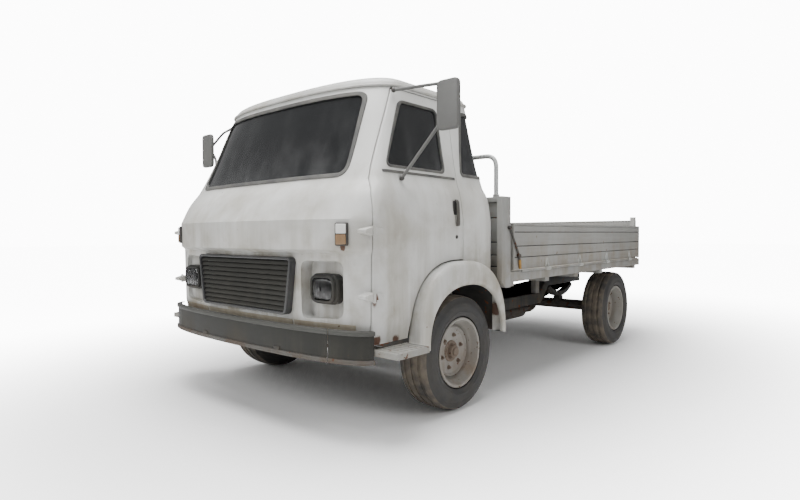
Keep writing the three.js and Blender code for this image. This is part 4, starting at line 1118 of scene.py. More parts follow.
class TRUCK_OT_doors(Piece, bpy.types.Operator):
    """Press the doors, with their window openings and a rubber strip at the waist"""
    bl_idname = "truck.doors"
    bl_label = "Doors"

    def build(self, size):
        door = skin_patch(side_turns(), heights(0.505, 1.985), 0.0, 0.028)
        keep(door, door_tool(0.004))
        cut(door, pillar_tool(), arch_tool(0.008), door_window(0))
        soften(door, size.edge)
        place_pair(door, "door_skin_{}", "door_{}", "cab_paint", "cab coat", "door_{}", 24)
        waist = skin_patch(side_turns(1.55, 2.98), spread(1.462, 1.478, 0.004), -0.004, 0.004)
        keep(waist, block((0.6, PILLAR_FOOT_Y + 0.075, 1.4), (REACH, DOOR_REAR_Y - 0.012, 1.5)))
        place_pair(soften(waist, 0.0012), "waist_rubber_{}", "door_{}", "trim", "window rubber")
        lock_y = DOOR_REAR_Y - 0.075
        x = skin_point(2.5, 1.10)[0]
        lock = bar((x - 0.004, lock_y, 1.10), (x + 0.004, lock_y, 1.10), 0.012, 24, 0.002)
        place_pair(lock, "door_lock_{}", "door_{}", "steel", "dark steel")


class TRUCK_OT_door_hinges(Piece, bpy.types.Operator):
    """Forge the wedge-shaped hinge arms and their pins"""
    bl_idname = "truck.door_hinges"
    bl_label = "Door hinges"

    def build(self, size):
        x, y = CAB_HALF + 0.012, DOOR_FRONT_Y - 0.012
        for i, z in enumerate((0.790, 1.135)):
            arm = [(-0.060, -0.009), (-0.004, -0.024), (0.004, -0.024), (0.004, 0.024),
                   (-0.004, 0.024), (-0.060, 0.009)]
            plate = prism([(y + a, z + b) for a, b in arm], "x", CAB_HALF - 0.055, x - 0.003)
            cut(plate, skin_solid(0.001, 0.55, 1.4))
            knuckle = bar((x, y, z - 0.030), (x, y, z + 0.030), 0.0085, 20, 0.002)
            both = joined(soften(plate, 0.003), knuckle)
            place_pair(both, "door_hinge_%d_{}" % i, *CAB_COAT)
            strap = [(0.010, -0.020), (0.080, -0.014), (0.080, 0.014), (0.010, 0.020)]
            leaf = [(y + a, z + b) for a, b in strap]
            leaf = prism(leaf, "x", CAB_HALF - 0.006, CAB_HALF + 0.004)
            place_pair(soften(leaf, 0.002), "door_hinge_leaf_%d_{}" % i, "door_{}", "cab_paint",
                       "cab coat")


class TRUCK_OT_panes(Piece, bpy.types.Operator):
    """Lay the glass in its rubber seals"""
    bl_idname = "truck.panes"
    bl_label = "Glass and seals"

    def build(self, size):
        seal = size.seal
        front = front_turns(0.05, 1.95, 66)
        pane = keep(skin_patch(front, heights(1.41, 1.985), *GLASS), windscreen_tool(-0.0005))
        place(pane, "windscreen_pane", *PANE, ("windscreen",))
        ring = skin_patch(front, heights(1.40, 1.988), -0.005, 0.009)
        cut(keep(ring, windscreen_tool(seal * 0.6)), windscreen_tool(-seal))
        place(soften(ring, 0.003), "windscreen_seal", *SEAL)

        side = side_turns(1.3, 3.0)
        pane = keep(skin_patch(side, heights(1.45, 1.95), *GLASS), door_window(-0.0005))
        place_pair(pane, "door_pane_{}", "door_{}", "window_glass", "tinted glass", "door_glass_{}")
        ring = keep(skin_patch(side, heights(1.45, 1.95), -0.003, 0.010), door_window(0.004))
        cut(ring, door_window(-seal * 0.8))
        place_pair(soften(ring, 0.002), "door_seal_{}", "door_{}", "trim", "window rubber")

        turns = spread(2.0, 3.0, 0.06) + spread(3.0, 4.4, 0.10)[1:]
        limit = (0.0, -2, 1.4), (0.774, 0, 2.0)
        pane = keep(skin_patch(turns, heights(1.46, 1.96), *GLASS), quarter_window(-0.0005))
        cut(pane, block(*limit))
        place_pair(pane, "quarter_pane_{}", *PANE,
                   "quarter_window_{}")
        ring = keep(skin_patch(turns, heights(1.45, 1.97), -0.004, 0.010), quarter_window(0.008))
        cut(ring, quarter_window(-seal * 0.9))
        place_pair(soften(ring, 0.002), "quarter_seal_{}", *SEAL)

        rear = spread(4.05, 4.95, 0.05)
        pane = keep(skin_patch(rear, heights(1.44, 1.88), *GLASS), rear_window(-0.0005))
        place(pane, "rear_pane", *PANE, ("rear_window",))
        ring = keep(skin_patch(rear, heights(1.43, 1.89), -0.005, 0.010), rear_window(seal * 0.6))
        cut(ring, rear_window(-seal))
        place(soften(ring, 0.003), "rear_window_seal", *SEAL)


# ---------- front end ----------
class TRUCK_OT_grille(Piece, bpy.types.Operator):
    """Press the grille's frame and hang its tilted slats in front of the radiator"""
    bl_idname = "truck.grille"
    bl_label = "Grille"

    def build(self, size):
        front = NOSE_Y + 0.055
        frame_ring = prism(grille_points(0.0), "y", front, front + 0.062)
        cut(frame_ring, prism(grille_points(-0.016), "y", front - 0.01, front + 0.08))
        soften(frame_ring, 0.006, segments=4)
        place(frame_ring, "grille_frame", "chassis", "grille", "grille frame coat", ("grille",))
        low, high = 0.678, 0.974
        pitch = (high - low) / size.slats
        lean = math.tan(size.slat_tilt)
        y, z = front + 0.010, low + pitch / 2
        rise = 0.023
        back = rise * lean
        blade = [(y, z - 0.012), (y + 0.003, z - 0.014), (y + 0.016, z - 0.014),
                 (y + 0.016, z - 0.012), (y + 0.004, z - 0.011),
                 (y + 0.004 + back, z - 0.012 + rise), (y + 0.001 + back, z - 0.010 + rise)]
        first = soften(prism(blade, "x", -1, 1), 0.001)
        slats = []
        for i in range(size.slats):
            half = 0.447 + 0.050 * (z + i * pitch - 0.66) / 0.33 - 0.010
            slat = shifted(first, (0, 0, i * pitch))
            slat.data.transform(Matrix.Scale(half, 4, (1, 0, 0)))
            slats.append(slat)
        bpy.data.objects.remove(first, do_unlink=True)
        place(joined(*slats), "grille_slats", "chassis", "grille", "grille slat coat")
        stays = [block((x - 0.006, front + 0.036, 0.675), (x + 0.006, front + 0.050, 0.975), 0.002)
                 for x in (-0.24, 0.0, 0.24)]
        place(joined(*stays), "grille_stays", "chassis", "grille", "grille slat coat")
        core = block((-0.43, front + 0.085, 0.66), (0.43, front + 0.120, 0.985), 0.004)
        tanks = [block((-0.44, front + 0.080, z), (0.44, front + 0.127, z + 0.035), 0.010)
                 for z in (0.63, 0.975)]
        place(joined(core, *tanks), "radiator", "chassis", "chassis_paint", "dark steel")


class TRUCK_OT_headlamps(Piece, bpy.types.Operator):
    """Fit the rounded headlamps: housing, ring, reflector, bulb and fluted lens"""
    bl_idname = "truck.headlamps"
    bl_label = "Headlamps"

    def bowl(self, rows):
        made = [[(x, LAMP_Y + y, z) for x, z in lamp_points(w, h, r)] for y, w, h, r in rows]
        return loft(made)

    def build(self, size):
        housing = prism(lamp_points(0.106, 0.084, 0.052), "y", LAMP_Y + 0.034, RECESS_Y - 0.0004)
        soften(housing, 0.009, segments=4)
        cut(housing, prism(lamp_points(0.082, 0.062, 0.040), "y", LAMP_Y, LAMP_Y + 0.0885))
        place_pair(housing, "headlamp_housing_{}", "chassis", "lamp", "lamp housing coat",
                   "headlamp_{}")
        ring = prism(lamp_points(0.096, 0.075, 0.048), "y", LAMP_Y + 0.016, LAMP_Y + 0.038)
        cut(ring, prism(lamp_points(0.0805, 0.0605, 0.038), "y", LAMP_Y, LAMP_Y + 0.05))
        soften(ring, 0.005, segments=4)
        place_pair(ring, "headlamp_ring_{}", "chassis", "lamp", "lamp housing coat")
        bowl = self.bowl(((0.030, 0.0815, 0.0615, 0.039), (0.052, 0.072, 0.055, 0.036),
                          (0.068, 0.056, 0.045, 0.032), (0.078, 0.038, 0.034, 0.028),
                          (0.083, 0.020, 0.020, 0.018), (0.088, 0.020, 0.020, 0.018),
                          (0.083, 0.045, 0.040, 0.030), (0.072, 0.064, 0.051, 0.034),
                          (0.054, 0.078, 0.059, 0.038), (0.034, 0.0819, 0.0619, 0.0395)))
        place_pair(bowl, "headlamp_reflector_{}", "chassis", "lamp", "lamp reflector", angle=60)
        bulb = joined(bar((LAMP_X, LAMP_Y + 0.082, LAMP_Z), (LAMP_X, LAMP_Y + 0.060, LAMP_Z), 0.009,
                          16, 0.002), ball((LAMP_X, LAMP_Y + 0.052, LAMP_Z), 0.012))
        place_pair(bulb, "headlamp_bulb_{}", "chassis", "lamp", "clear marker lens")
        lens = self.bowl(((0.030, 0.0800, 0.0600, 0.038), (0.020, 0.0798, 0.0598, 0.038),
                          (0.015, 0.074, 0.054, 0.036), (0.011, 0.060, 0.042, 0.030),
                          (0.009, 0.036, 0.026, 0.020), (0.0085, 0.012, 0.010, 0.008),
                          (0.0125, 0.012, 0.010, 0.008), (0.013, 0.036, 0.026, 0.020),
                          (0.015, 0.058, 0.041, 0.029), (0.019, 0.071, 0.052, 0.034),
                          (0.030, 0.0765, 0.0565, 0.035)))
        place_pair(lens, "headlamp_lens_{}", "chassis", "lamp", "lamp lens", angle=60)


class TRUCK_OT_marker_lamps(Piece, bpy.types.Operator):
    """Screw a white and amber marker lamp to each front corner"""
    bl_idname = "truck.marker_lamps"
    bl_label = "Marker lamps"

    def build(self, size):
        turn = 1.655
        x, y, z = skin_point(turn, 1.120)
        swing = Matrix.Translation((x, y, z)) @ Matrix.Rotation(math.radians(24.0), 4, "Z")
        parts = (
            ("frame", "dark steel", (-0.037, -0.017, -0.062), (0.037, 0.012, 0.062), 0.009),
            ("clear", "clear marker lens", (-0.029, -0.024, 0.003), (0.029, -0.012, 0.054), 0.005),
            ("amber", "amber marker lens", (-0.029, -0.024, -0.054), (0.029, -0.012, -0.001),
             0.005))
        for name, finish, low, high, bevel in parts:
            piece = block(low, high, bevel, 4)
            piece.data.transform(swing)
            place_pair(piece, f"marker_lamp_{name}_{{}}", "chassis", "lamp", finish)


class TRUCK_OT_bumper(Piece, bpy.types.Operator):
    """Roll the channel bumper in three lengths, with lighter lips and two brackets"""
    bl_idname = "truck.bumper"
    bl_label = "Front bumper"

    def station(self, degrees, section):
        half, depth, power = 1.022, 0.200, 2 / 2.5
        front = AXLE_Y - 0.970
        angle = math.radians(degrees)
        across = math.copysign(abs(math.sin(angle)) ** power, math.sin(angle))
        ahead = math.cos(angle) ** power
        return [((half - i) * across, front + depth - (depth - i) * ahead, z) for i, z in section]

    def build(self, size):
        face = [(0.010, 0.4575), (0.010, 0.523), (0.010, 0.5885), (0.015, 0.5885), (0.015, 0.523),
                (0.015, 0.4575)]
        top = [(0.010, 0.5860), (0.003, 0.5875), (0.0, 0.5915), (0.0, 0.6060), (0.002, 0.6105),
               (0.007, 0.6120), (0.040, 0.6120), (0.040, 0.6080), (0.009, 0.6080), (0.005, 0.6045),
               (0.005, 0.5930), (0.010, 0.5900)]
        bottom = [(i, 1.046 - z) for i, z in reversed(top)]
        middle_angles = spread(-46.2, 46.2, 2.1)
        corner = spread(46.6, 86.3, 1.4)
        sections = (("face", face, "bumper coat"), ("top_lip", top, "bumper lip coat"),
                    ("bottom_lip", bottom, "bumper foot coat"))
        for part, angles in (("middle", middle_angles), ("left", corner)):
            for name, section, finish in sections:
                piece = loft([self.station(angle, section) for angle in angles])
                target = ("chassis", "bumper_paint", finish)
                if part == "middle":
                    nodes = ("front_bumper",) if name == "face" else ()
                    place(piece, f"bumper_{name}_middle", *target, nodes)
                else:
                    place_pair(piece, f"bumper_{name}_{{}}", *target)
        bracket = block((0.365, AXLE_Y - 0.958, 0.449), (0.415, AXLE_Y - 0.845, 0.479), 0.003)
        place_pair(bracket, "bumper_bracket_{}", *FRAME_COAT)


class TRUCK_OT_steps(Piece, bpy.types.Operator):
    """Press the step under each door, with raised treads"""
    bl_idname = "truck.steps"
    bl_label = "Steps"

    def build(self, size):
        step = soften(refined("step_left"), 0.003, segments=3)
        place_pair(step, "step_plate_{}", "chassis", "chassis_paint", "step coat", "step_{}")
        first = block((1.012, AXLE_Y - 0.765, 0.511), (1.158, AXLE_Y - 0.755, 0.5155), 0.002)
        ridges = [first] + [shifted(first, (0, 0.037 * i, 0)) for i in range(1, 7)]
        place_pair(joined(*ridges), "step_ridges_{}", "chassis", "chassis_paint", "step coat")


class TRUCK_OT_handles(Piece, bpy.types.Operator):
    """Cast the pull handles and the dished plates behind them"""
    bl_idname = "truck.handles"
    bl_label = "Door handles"

    def build(self, size):
        low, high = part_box("door_handle_left")
        y = (low.y + high.y) / 2
        lever = [(1.004, 1.168), (1.014, 1.166), (1.021, 1.174), (1.020, 1.250), (1.014, 1.318),
                 (1.002, 1.334), (0.993, 1.334), (1.004, 1.310), (1.010, 1.250), (1.009, 1.184)]
        piece = soften(prism(lever, "y", y - 0.013, y + 0.013), 0.0035, segments=4)
        place_pair(piece, "door_handle_lever_{}", "door_handle_{}", "steel", "handle coat",
                   "door_handle_{}")
        x = skin_point(2.5, 1.25)[0]
        plate = block((x - 0.006, y - 0.024, 1.158), (x + 0.0015, y + 0.024, 1.326), 0.003)
        place_pair(plate, "door_handle_plate_{}", "door_{}", "trim", "dark steel")


class TRUCK_OT_mirrors(Piece, bpy.types.Operator):
    """Bend the mirror arms and mount the heads on their ball clamps"""
    bl_idname = "truck.mirrors"
    bl_label = "Mirrors"

    def build(self, size):
        top, foot = (0.842, AXLE_Y - 0.440, 1.960), (0.962, AXLE_Y - 0.508, 1.434)
        corner, low = (1.162, AXLE_Y - 0.340, 1.967), (1.178, AXLE_Y - 0.400, 1.760)
        clamp = (1.233, AXLE_Y - 0.424, 1.830)
        arms = joined(*(pipe(path, 0.0095, 0.045)
                        for path in ((top, corner, clamp), (foot, low, clamp))))
        place_pair(arms, "mirror_arms_{}", "mirror_{}", "trim", "mirror coat", "mirror_{}")
        joints = [ball(clamp, 0.019), ball(top, 0.015), ball(foot, 0.015)]
        x, y, _ = clamp
        joints += [bar((x - 0.018, y, z), (x + 0.018, y, z), 0.007, 12, 0.002)
                   for z in (1.812, 1.848)]
        place_pair(joined(*joints), "mirror_joints_{}", "mirror_{}", "trim", "dark steel", angle=60)
        y0, y1 = AXLE_Y - 0.452, AXLE_Y - 0.422
        outline = rectangle(1.160, 1.680, 1.306, 1.952, 0.034, 8)
        head = soften(prism(outline, "y", y0, y1), 0.010, segments=5)
        place_pair(head, "mirror_head_{}", "mirror_{}", "trim", "mirror coat")
        outline = rectangle(1.168, 1.688, 1.298, 1.944, 0.028, 8)
        silver = soften(prism(outline, "y", y1 - 0.002, y1 + 0.002), 0.001)
        place_pair(silver, "mirror_silver_{}", "mirror_{}", "trim", "mirror silver")


# ---------- inside the cab ----------
class TRUCK_OT_cab_inside(Piece, bpy.types.Operator):
    """Fit the floor, dashboard and steering wheel"""
    bl_idname = "truck.cab_inside"
    bl_label = "Cab inside"

    def build(self, size):
        place(soften(refined("cab_floor"), 0.001), "cab_floor_pan", "chassis", "cab_paint",
              "cab lining", ("cab_floor",))
        place(refined("dashboard"), "dashboard_moulding", "chassis", "trim", "dashboard plastic",
              ("dashboard",))
        hub = Vector((0.420, AXLE_Y - 0.363, 1.362))
        axis = Vector((0, math.sin(0.452), math.cos(0.452)))
        clear_selection()
        bpy.ops.mesh.primitive_torus_add(major_radius=0.205, minor_radius=0.0135, major_segments=64,
                                         minor_segments=14, location=hub,
                                         rotation=axis.to_track_quat("Z", "Y").to_euler())
        rim = settle(bpy.context.object)
        parts = [rim, bar(hub - axis * 0.02, hub + axis * 0.018, 0.042, 32, 0.006),
                 bar(hub - axis * 0.84, hub - axis * 0.01, 0.018, 20)]
        side = Vector((1, 0, 0))
        for i in range(3):
            angle = math.pi / 2 + i * 2 * math.pi / 3
            out = side * math.cos(angle) + axis.cross(side) * math.sin(angle)
            parts.append(bar(hub, hub + out * 0.203, 0.008, 12))
        place(joined(*parts), "steering_wheel_rim", "steering_wheel", "trim", "dashboard plastic",
              ("steering_wheel",), 50)


class TRUCK_OT_seats(Piece, bpy.types.Operator):
    """Swell the bench's cushion and back under their covers"""
    bl_idname = "truck.seats"
    bl_label = "Seats"

    def swell(self, node, name, size):
        source = refined(node)
        low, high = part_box(node)
        middle = (low + high) / 2
        shrink = Matrix.Translation(middle) @ Matrix.Diagonal((0.985, 0.94, 0.90, 1)) @ \
            Matrix.Translation(-middle)
        source.data.transform(shrink)
        modify(source, "REMESH", mode="VOXEL", voxel_size=0.014)
        before = [v.co.copy() for v in source.data.vertices]
        cloth = source.modifiers.new("Cover", "CLOTH")
        cloth.settings.use_pressure = True
        cloth.settings.uniform_pressure_force = 4
        cloth.settings.effector_weights.gravity = 0
        cloth.point_cache.frame_start = 1
        cloth.point_cache.frame_end = 20
        for step in range(1, 21):
            bpy.context.scene.frame_set(step)
        activate(source)
        bpy.ops.object.modifier_apply(modifier=cloth.name)
        bpy.context.scene.frame_set(1)
        for vertex, old in zip(source.data.vertices, before):
            move = vertex.co - old
            if move.length > size.cushion_swell:
                vertex.co = old + move.normalized() * size.cushion_swell
        modify(source, "SMOOTH", factor=0.5, iterations=6)
        modify(source, "SUBSURF", levels=1, render_levels=1)
        place(source, name, "chassis", "seat", "seat cloth", (node,), 80)

    def build(self, size):
        self.swell("seat_cushion", "seat_cushion_cover", size)
        self.swell("seat_back", "seat_back_cover", size)


# ---------- bed ----------
class TRUCK_OT_deck(Piece, bpy.types.Operator):
    """Lay the boarded deck on its bearers and steel sills"""
    bl_idname = "truck.deck"
    bl_label = "Load deck"

    def build(self, size):
        deck = soften(refined("load_deck"), 0.0015)
        place(deck, "load_deck_steel", *BED_STEEL, ("load_deck",))
        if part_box("load_deck")[1].z < DECK_TOP:
            raise RuntimeError("the deck is lower than its planks")
        count = 11
        width = 2.06 / count
        first = block((-1.030 + size.board_gap / 2, BED_FRONT_Y, 0.846),
                      (-1.030 + width - size.board_gap / 2, 2.0475, 0.8535), 0.002)
        planks = [first] + [shifted(first, (width * i, 0, 0)) for i in range(1, count)]
        place(joined(*planks), "deck_planks", "chassis", "bed_boards", "deck board paint")


def row_of_boards(edges, gap, make):
    """One board between each pair of edges, with a gap between boards."""
    return [make(a + gap / 2, b - gap / 2) for a, b in zip(edges, edges[1:])]


def strap_outline(middle, foot, tip, top, radius):
    """A strap that narrows from half width foot to half width tip."""
    return rounded([(middle - foot, STRAP_FOOT_Z), (middle + foot, STRAP_FOOT_Z),
                    (middle + tip, top), (middle - tip, top)], radius, 4)


class TRUCK_OT_headboard(Piece, bpy.types.Operator):
    """Board up the frame behind the cab and bend the tube hoop above it"""
    bl_idname = "truck.headboard"
    bl_label = "Headboard and hoop"

    def build(self, size):
        edges = (0.782, 0.890, 0.970, 1.060, 1.230, 1.338)
        planks = row_of_boards(edges, size.board_gap, lambda a, b: block(
            (-1.021, -0.6950, a), (1.021, -0.6650, b), 0.004))
        place(joined(*planks), "headboard_planks", "chassis", "bed_boards", "headboard paint",
              ("headboard",))
        # A near-black sheet inside the boards, seen only through the gaps between them: painted
        # shade in the gaps.
        gap_shade_sheet = block((-1.018, -0.6830, 0.786), (1.018, -0.6770, 1.336))
        place(gap_shade_sheet, "headboard_gap_shade", "chassis", "bed_boards", "chassis coat")
        post = [(-0.7520, 0.790), (-0.6925, 0.745), (-0.6334, 0.745), (-0.6334, 1.375),
                (-0.7520, 1.375)]
        piece = soften(prism(post, "x", 1.0235, 1.065), 0.004, segments=3)
        place_pair(piece, "headboard_post_{}", *BED_STEEL)
        rail = block((-1.0225, -0.7100, 1.337), (1.0225, -0.6334, 1.375), 0.005)
        battens = [block((x - 0.030, -0.7075, 0.785), (x + 0.030, -0.6950, 1.336), 0.003)
                   for x in (-0.35, 0.35)]
        place(joined(rail, *battens), "headboard_rail", *BED_STEEL)
        low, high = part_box("headboard_hoop")
        radius = 0.016
        x, y = high.x - radius, (low.y + high.y) / 2
        foot = max(low.z, 1.30)
        path = ((-x, y, foot), (-x, y, high.z - radius), (x, y, high.z - radius), (x, y, foot))
        place(pipe(path, radius, 0.085, 8), "headboard_hoop_tube", "chassis", "bed_tube",
              "bed tube coat", ("headboard_hoop",), 50)
        collar = bar((x, y, 1.370), (x, y, 1.394), 0.023, 24, 0.003)
        place_pair(collar, "hoop_collar_{}", "chassis", "bed_tube", "bed steel coat")


class TRUCK_OT_dropsides(Piece, bpy.types.Operator):
    """Build the hinged sides: boards in a steel edge, strap brackets and the hinge rod"""
    bl_idname = "truck.dropsides"
    bl_label = "Dropsides"

    def build(self, size):
        y0, y1 = SIDE_FRONT_Y, SIDE_REAR_Y
        edges = (0.862, 0.950, 1.030, 1.130, 1.178)
        planks = row_of_boards(edges, size.board_gap, lambda a, b: block(
            (1.036, y0 + 0.012, a), (1.0645, y1 - 0.012, b), 0.004))
        place_pair(joined(*planks), "dropside_planks_{}", "dropside_{}", "bed_boards",
                   "bed board paint", "dropside_{}")
        ends = [block((1.035, y, 0.860), (1.066, y + 0.016, 1.192), 0.003)
                for y in (y0, y1 - 0.016)]
        cap = block((1.0345, y0 + 0.002, 1.176), (1.0665, y1 - 0.002, 1.193), 0.005)
        # The near-black core inside the boards shows only through the gaps between them: painted
        # shade in the gaps.
        core = block((1.040, y0 + 0.010, STRAP_FOOT_Z), (1.060, y1 - 0.010, 1.180))
        place_pair(joined(cap, *ends), "dropside_edge_{}", "dropside_{}", "bed_boards",
                   "bed steel coat")
        place_pair(core, "dropside_core_{}", "dropside_{}", "bed_boards", "chassis coat")
        rod = bar((HINGE_X, y0 + 0.10, HINGE_Z), (HINGE_X, y1 - 0.10, HINGE_Z), 0.0085, 20, 0.002)
        place_pair(rod, "dropside_rod_{}", "dropside_{}", "steel", "bed steel coat")
        length = y1 - y0
        straps = []
        for share in (0.19, 0.42, 0.65, 0.88):
            y = y0 + length * share
            outline = strap_outline(y, 0.034, 0.013, 0.935, 0.008)
            plate = soften(prism(outline, "x", 1.0645, 1.0695), 0.0015)
            fin = [(1.0655, 0.932), (1.0655, 0.858), (1.0815, 0.850), (1.0830, 0.872)]
            fin = soften(prism(fin, "y", y - 0.003, y + 0.003), 0.001)
            roll = bar((HINGE_X, y - 0.036, HINGE_Z), (HINGE_X, y + 0.036, HINGE_Z), 0.0140,
                       20, 0.002)
            bolts = [bar((1.068, y + side, 0.885), (1.0745, y + side, 0.885), 0.007, 6, 0.0015)
                     for side in (-0.018, 0.018)]
            straps += [plate, fin, roll, *bolts]
        place_pair(joined(*straps), "dropside_straps_{}", "dropside_{}", "steel", "bed tube coat")
        sill = block((1.052, BED_FRONT_Y, 0.785), (1.0665, 2.0975, 0.842), 0.003)
        place_pair(sill, "sill_face_{}", *BED_STEEL)


class TRUCK_OT_latches(Piece, bpy.types.Operator):
    """Forge the over-centre latches with their painted grips"""
    bl_idname = "truck.latches"
    bl_label = "Dropside latches"

    def build(self, size):
        low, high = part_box("latch_left")
        x = (low.x + high.x) / 2
        pivot, hook = (-0.5360, 0.962), (-0.6680, 1.161)
        grip_end = (x + 0.001, -0.5240, 0.868)
        rod = pipe(((x, *hook), (x, *pivot), (x, -0.5245, 0.905)), 0.0075, 0.02)
        eye = bar((x - 0.013, *pivot), (x + 0.010, *pivot), 0.015, 24, 0.003)
        ring = bar((x - 0.012, *hook), (x + 0.009, *hook), 0.013, 20, 0.003)
        place_pair(joined(rod, eye, ring), "latch_rod_{}", "latch_{}", "steel", "dark steel",
                   "latch_{}", 50)
        grip = bar((x + 0.001, -0.5295, 0.935), grip_end, 0.0098, 24, 0.004)
        place_pair(grip, "latch_grip_{}", "latch_{}", "steel", "ochre grip", angle=50)


class TRUCK_OT_tailgate(Piece, bpy.types.Operator):
    """Build the tailgate like the sides, with its own hinges"""
    bl_idname = "truck.tailgate"
    bl_label = "Tailgate"

    def build(self, size):
        half = min(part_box("tailgate")[1].x, 1.02)
        y0, y1, top = 2.1030, 2.1350, 1.258
        edges = (0.864, 0.965, 1.060, 1.155, 1.244)
        planks = row_of_boards(edges, size.board_gap, lambda a, b: block(
            (-half + 0.012, y0 + 0.001, a), (half - 0.012, y1 - 0.001, b), 0.004))
        place(joined(*planks), "tailgate_planks", "tailgate", "bed_boards", "headboard paint",
              ("tailgate",))
        edge = [block((s * half - 0.008, y0, 0.860), (s * half + 0.008, y1, top), 0.003)
                for s in (-0.992, 0.992)]
        edge.append(block((-half + 0.002, y0 - 0.001, top - 0.017),
                          (half - 0.002, y1 + 0.001, top), 0.005))
        edge.append(block((-half + 0.010, y0 + 0.006, STRAP_FOOT_Z),
                          (half - 0.010, y1 - 0.006, top - 0.012)))
        place(joined(*edge), "tailgate_edge", "tailgate", "bed_boards", "bed steel coat")
        straps = []
        for share in (-0.70, -0.25, 0.25, 0.70):
            x = half * share
            outline = strap_outline(x, 0.055, 0.016, 1.000, 0.010)
            plate = soften(prism(outline, "y", y1 - 0.0005, y1 + 0.0050), 0.0015)
            roll = bar((x - 0.045, y1 + 0.010, HINGE_Z), (x + 0.045, y1 + 0.010, HINGE_Z), 0.0105,
                       20, 0.002)
            straps += [plate, roll]
        place(joined(*straps), "tailgate_straps", "tailgate", "steel", "galvanised steel")


# ---------- wheels ----------
class TRUCK_OT_wheels(Piece, bpy.types.Operator):
    """Spin the dished wheels and their stepped hubs, and bolt them on"""
    bl_idname = "truck.wheels"
    bl_label = "Wheels"

    def rim(self, disc):
        return [(-0.105, 0.204), (-0.105, 0.218), (-0.102, 0.222), (-0.098, 0.222), (-0.094, 0.216),
                (-0.092, 0.206), (-0.060, 0.200), (-0.040, 0.190), (0.040, 0.190), (0.060, 0.200),
                (0.092, 0.206), (0.094, 0.216), (0.098, 0.222), (0.102, 0.222), (0.105, 0.218),
                (0.106, 0.212), (0.103, 0.204), (0.094, 0.200), (0.070, 0.194), (0.052, 0.184),
                (disc + 0.040, 0.181), (disc + 0.022, 0.177), (disc + 0.012, 0.172),
                (disc + 0.010, 0.167), (disc + 0.016, 0.163), (disc + 0.030, 0.160),
                (disc + 0.034, 0.156), (disc + 0.034, 0.152), (disc + 0.029, 0.147),
                (disc + 0.022, 0.142), (disc + 0.022, 0.070),
                (disc + 0.014, 0.066), (disc - 0.002, 0.066), (disc - 0.002, 0.156),
                (disc + 0.006, 0.176), (disc + 0.012, 0.184), (-0.040, 0.184), (-0.060, 0.194),
                (-0.092, 0.199), (-0.105, 0.204)]

    def build(self, size):
        for place_name, axle_y, disc, body in (("front", AXLE_Y, 0.008, "road_wheel_front_{}"),
                                               ("rear", REAR_AXLE_Y, -0.022, "road_wheel_rear_{}")):
            centre = (WHEEL_X, axle_y, TYRE_RADIUS)
            rim = lathe(self.rim(disc), centre, 72)
            soften(rim, 0.0015, 50)
            place_pair(rim, f"wheel_rim_{place_name}_{{}}", body, "wheel_paint", "wheel coat",
                       f"wheel_{place_name}_{{}}", 40)
            hub = [(disc - 0.020, 0.0), (disc - 0.020, 0.068), (disc + 0.023, 0.068),
                   (disc + 0.026, 0.064), (disc + 0.027, 0.050), (disc + 0.030, 0.047),
                   (disc + 0.048, 0.044), (disc + 0.053, 0.040), (disc + 0.055, 0.030),
                   (disc + 0.064, 0.027), (disc + 0.066, 0.024), (disc + 0.067, 0.0)]
            place_pair(lathe(hub, centre, 56), f"wheel_hub_{place_name}_{{}}", body, "steel",
                       "hub rust", angle=30)
            bolts = []
            for i in range(size.wheel_bolts):
                angle = 2 * math.pi * (i + 0.25) / size.wheel_bolts
                y, z = axle_y + 0.104 * math.cos(angle), TYRE_RADIUS + 0.104 * math.sin(angle)
                x = WHEEL_X + disc + 0.021
                bolts += [bar((x, y, z), (x + 0.004, y, z), 0.0145, 24, 0.0015),
                          bar((x, y, z), (x + 0.015, y, z), 0.0110, 6, 0.002),
                          bar((x, y, z), (x + 0.021, y, z), 0.0055, 12, 0.0015)]
            place_pair(joined(*bolts), f"wheel_bolts_{place_name}_{{}}", body, "steel", "hub rust")


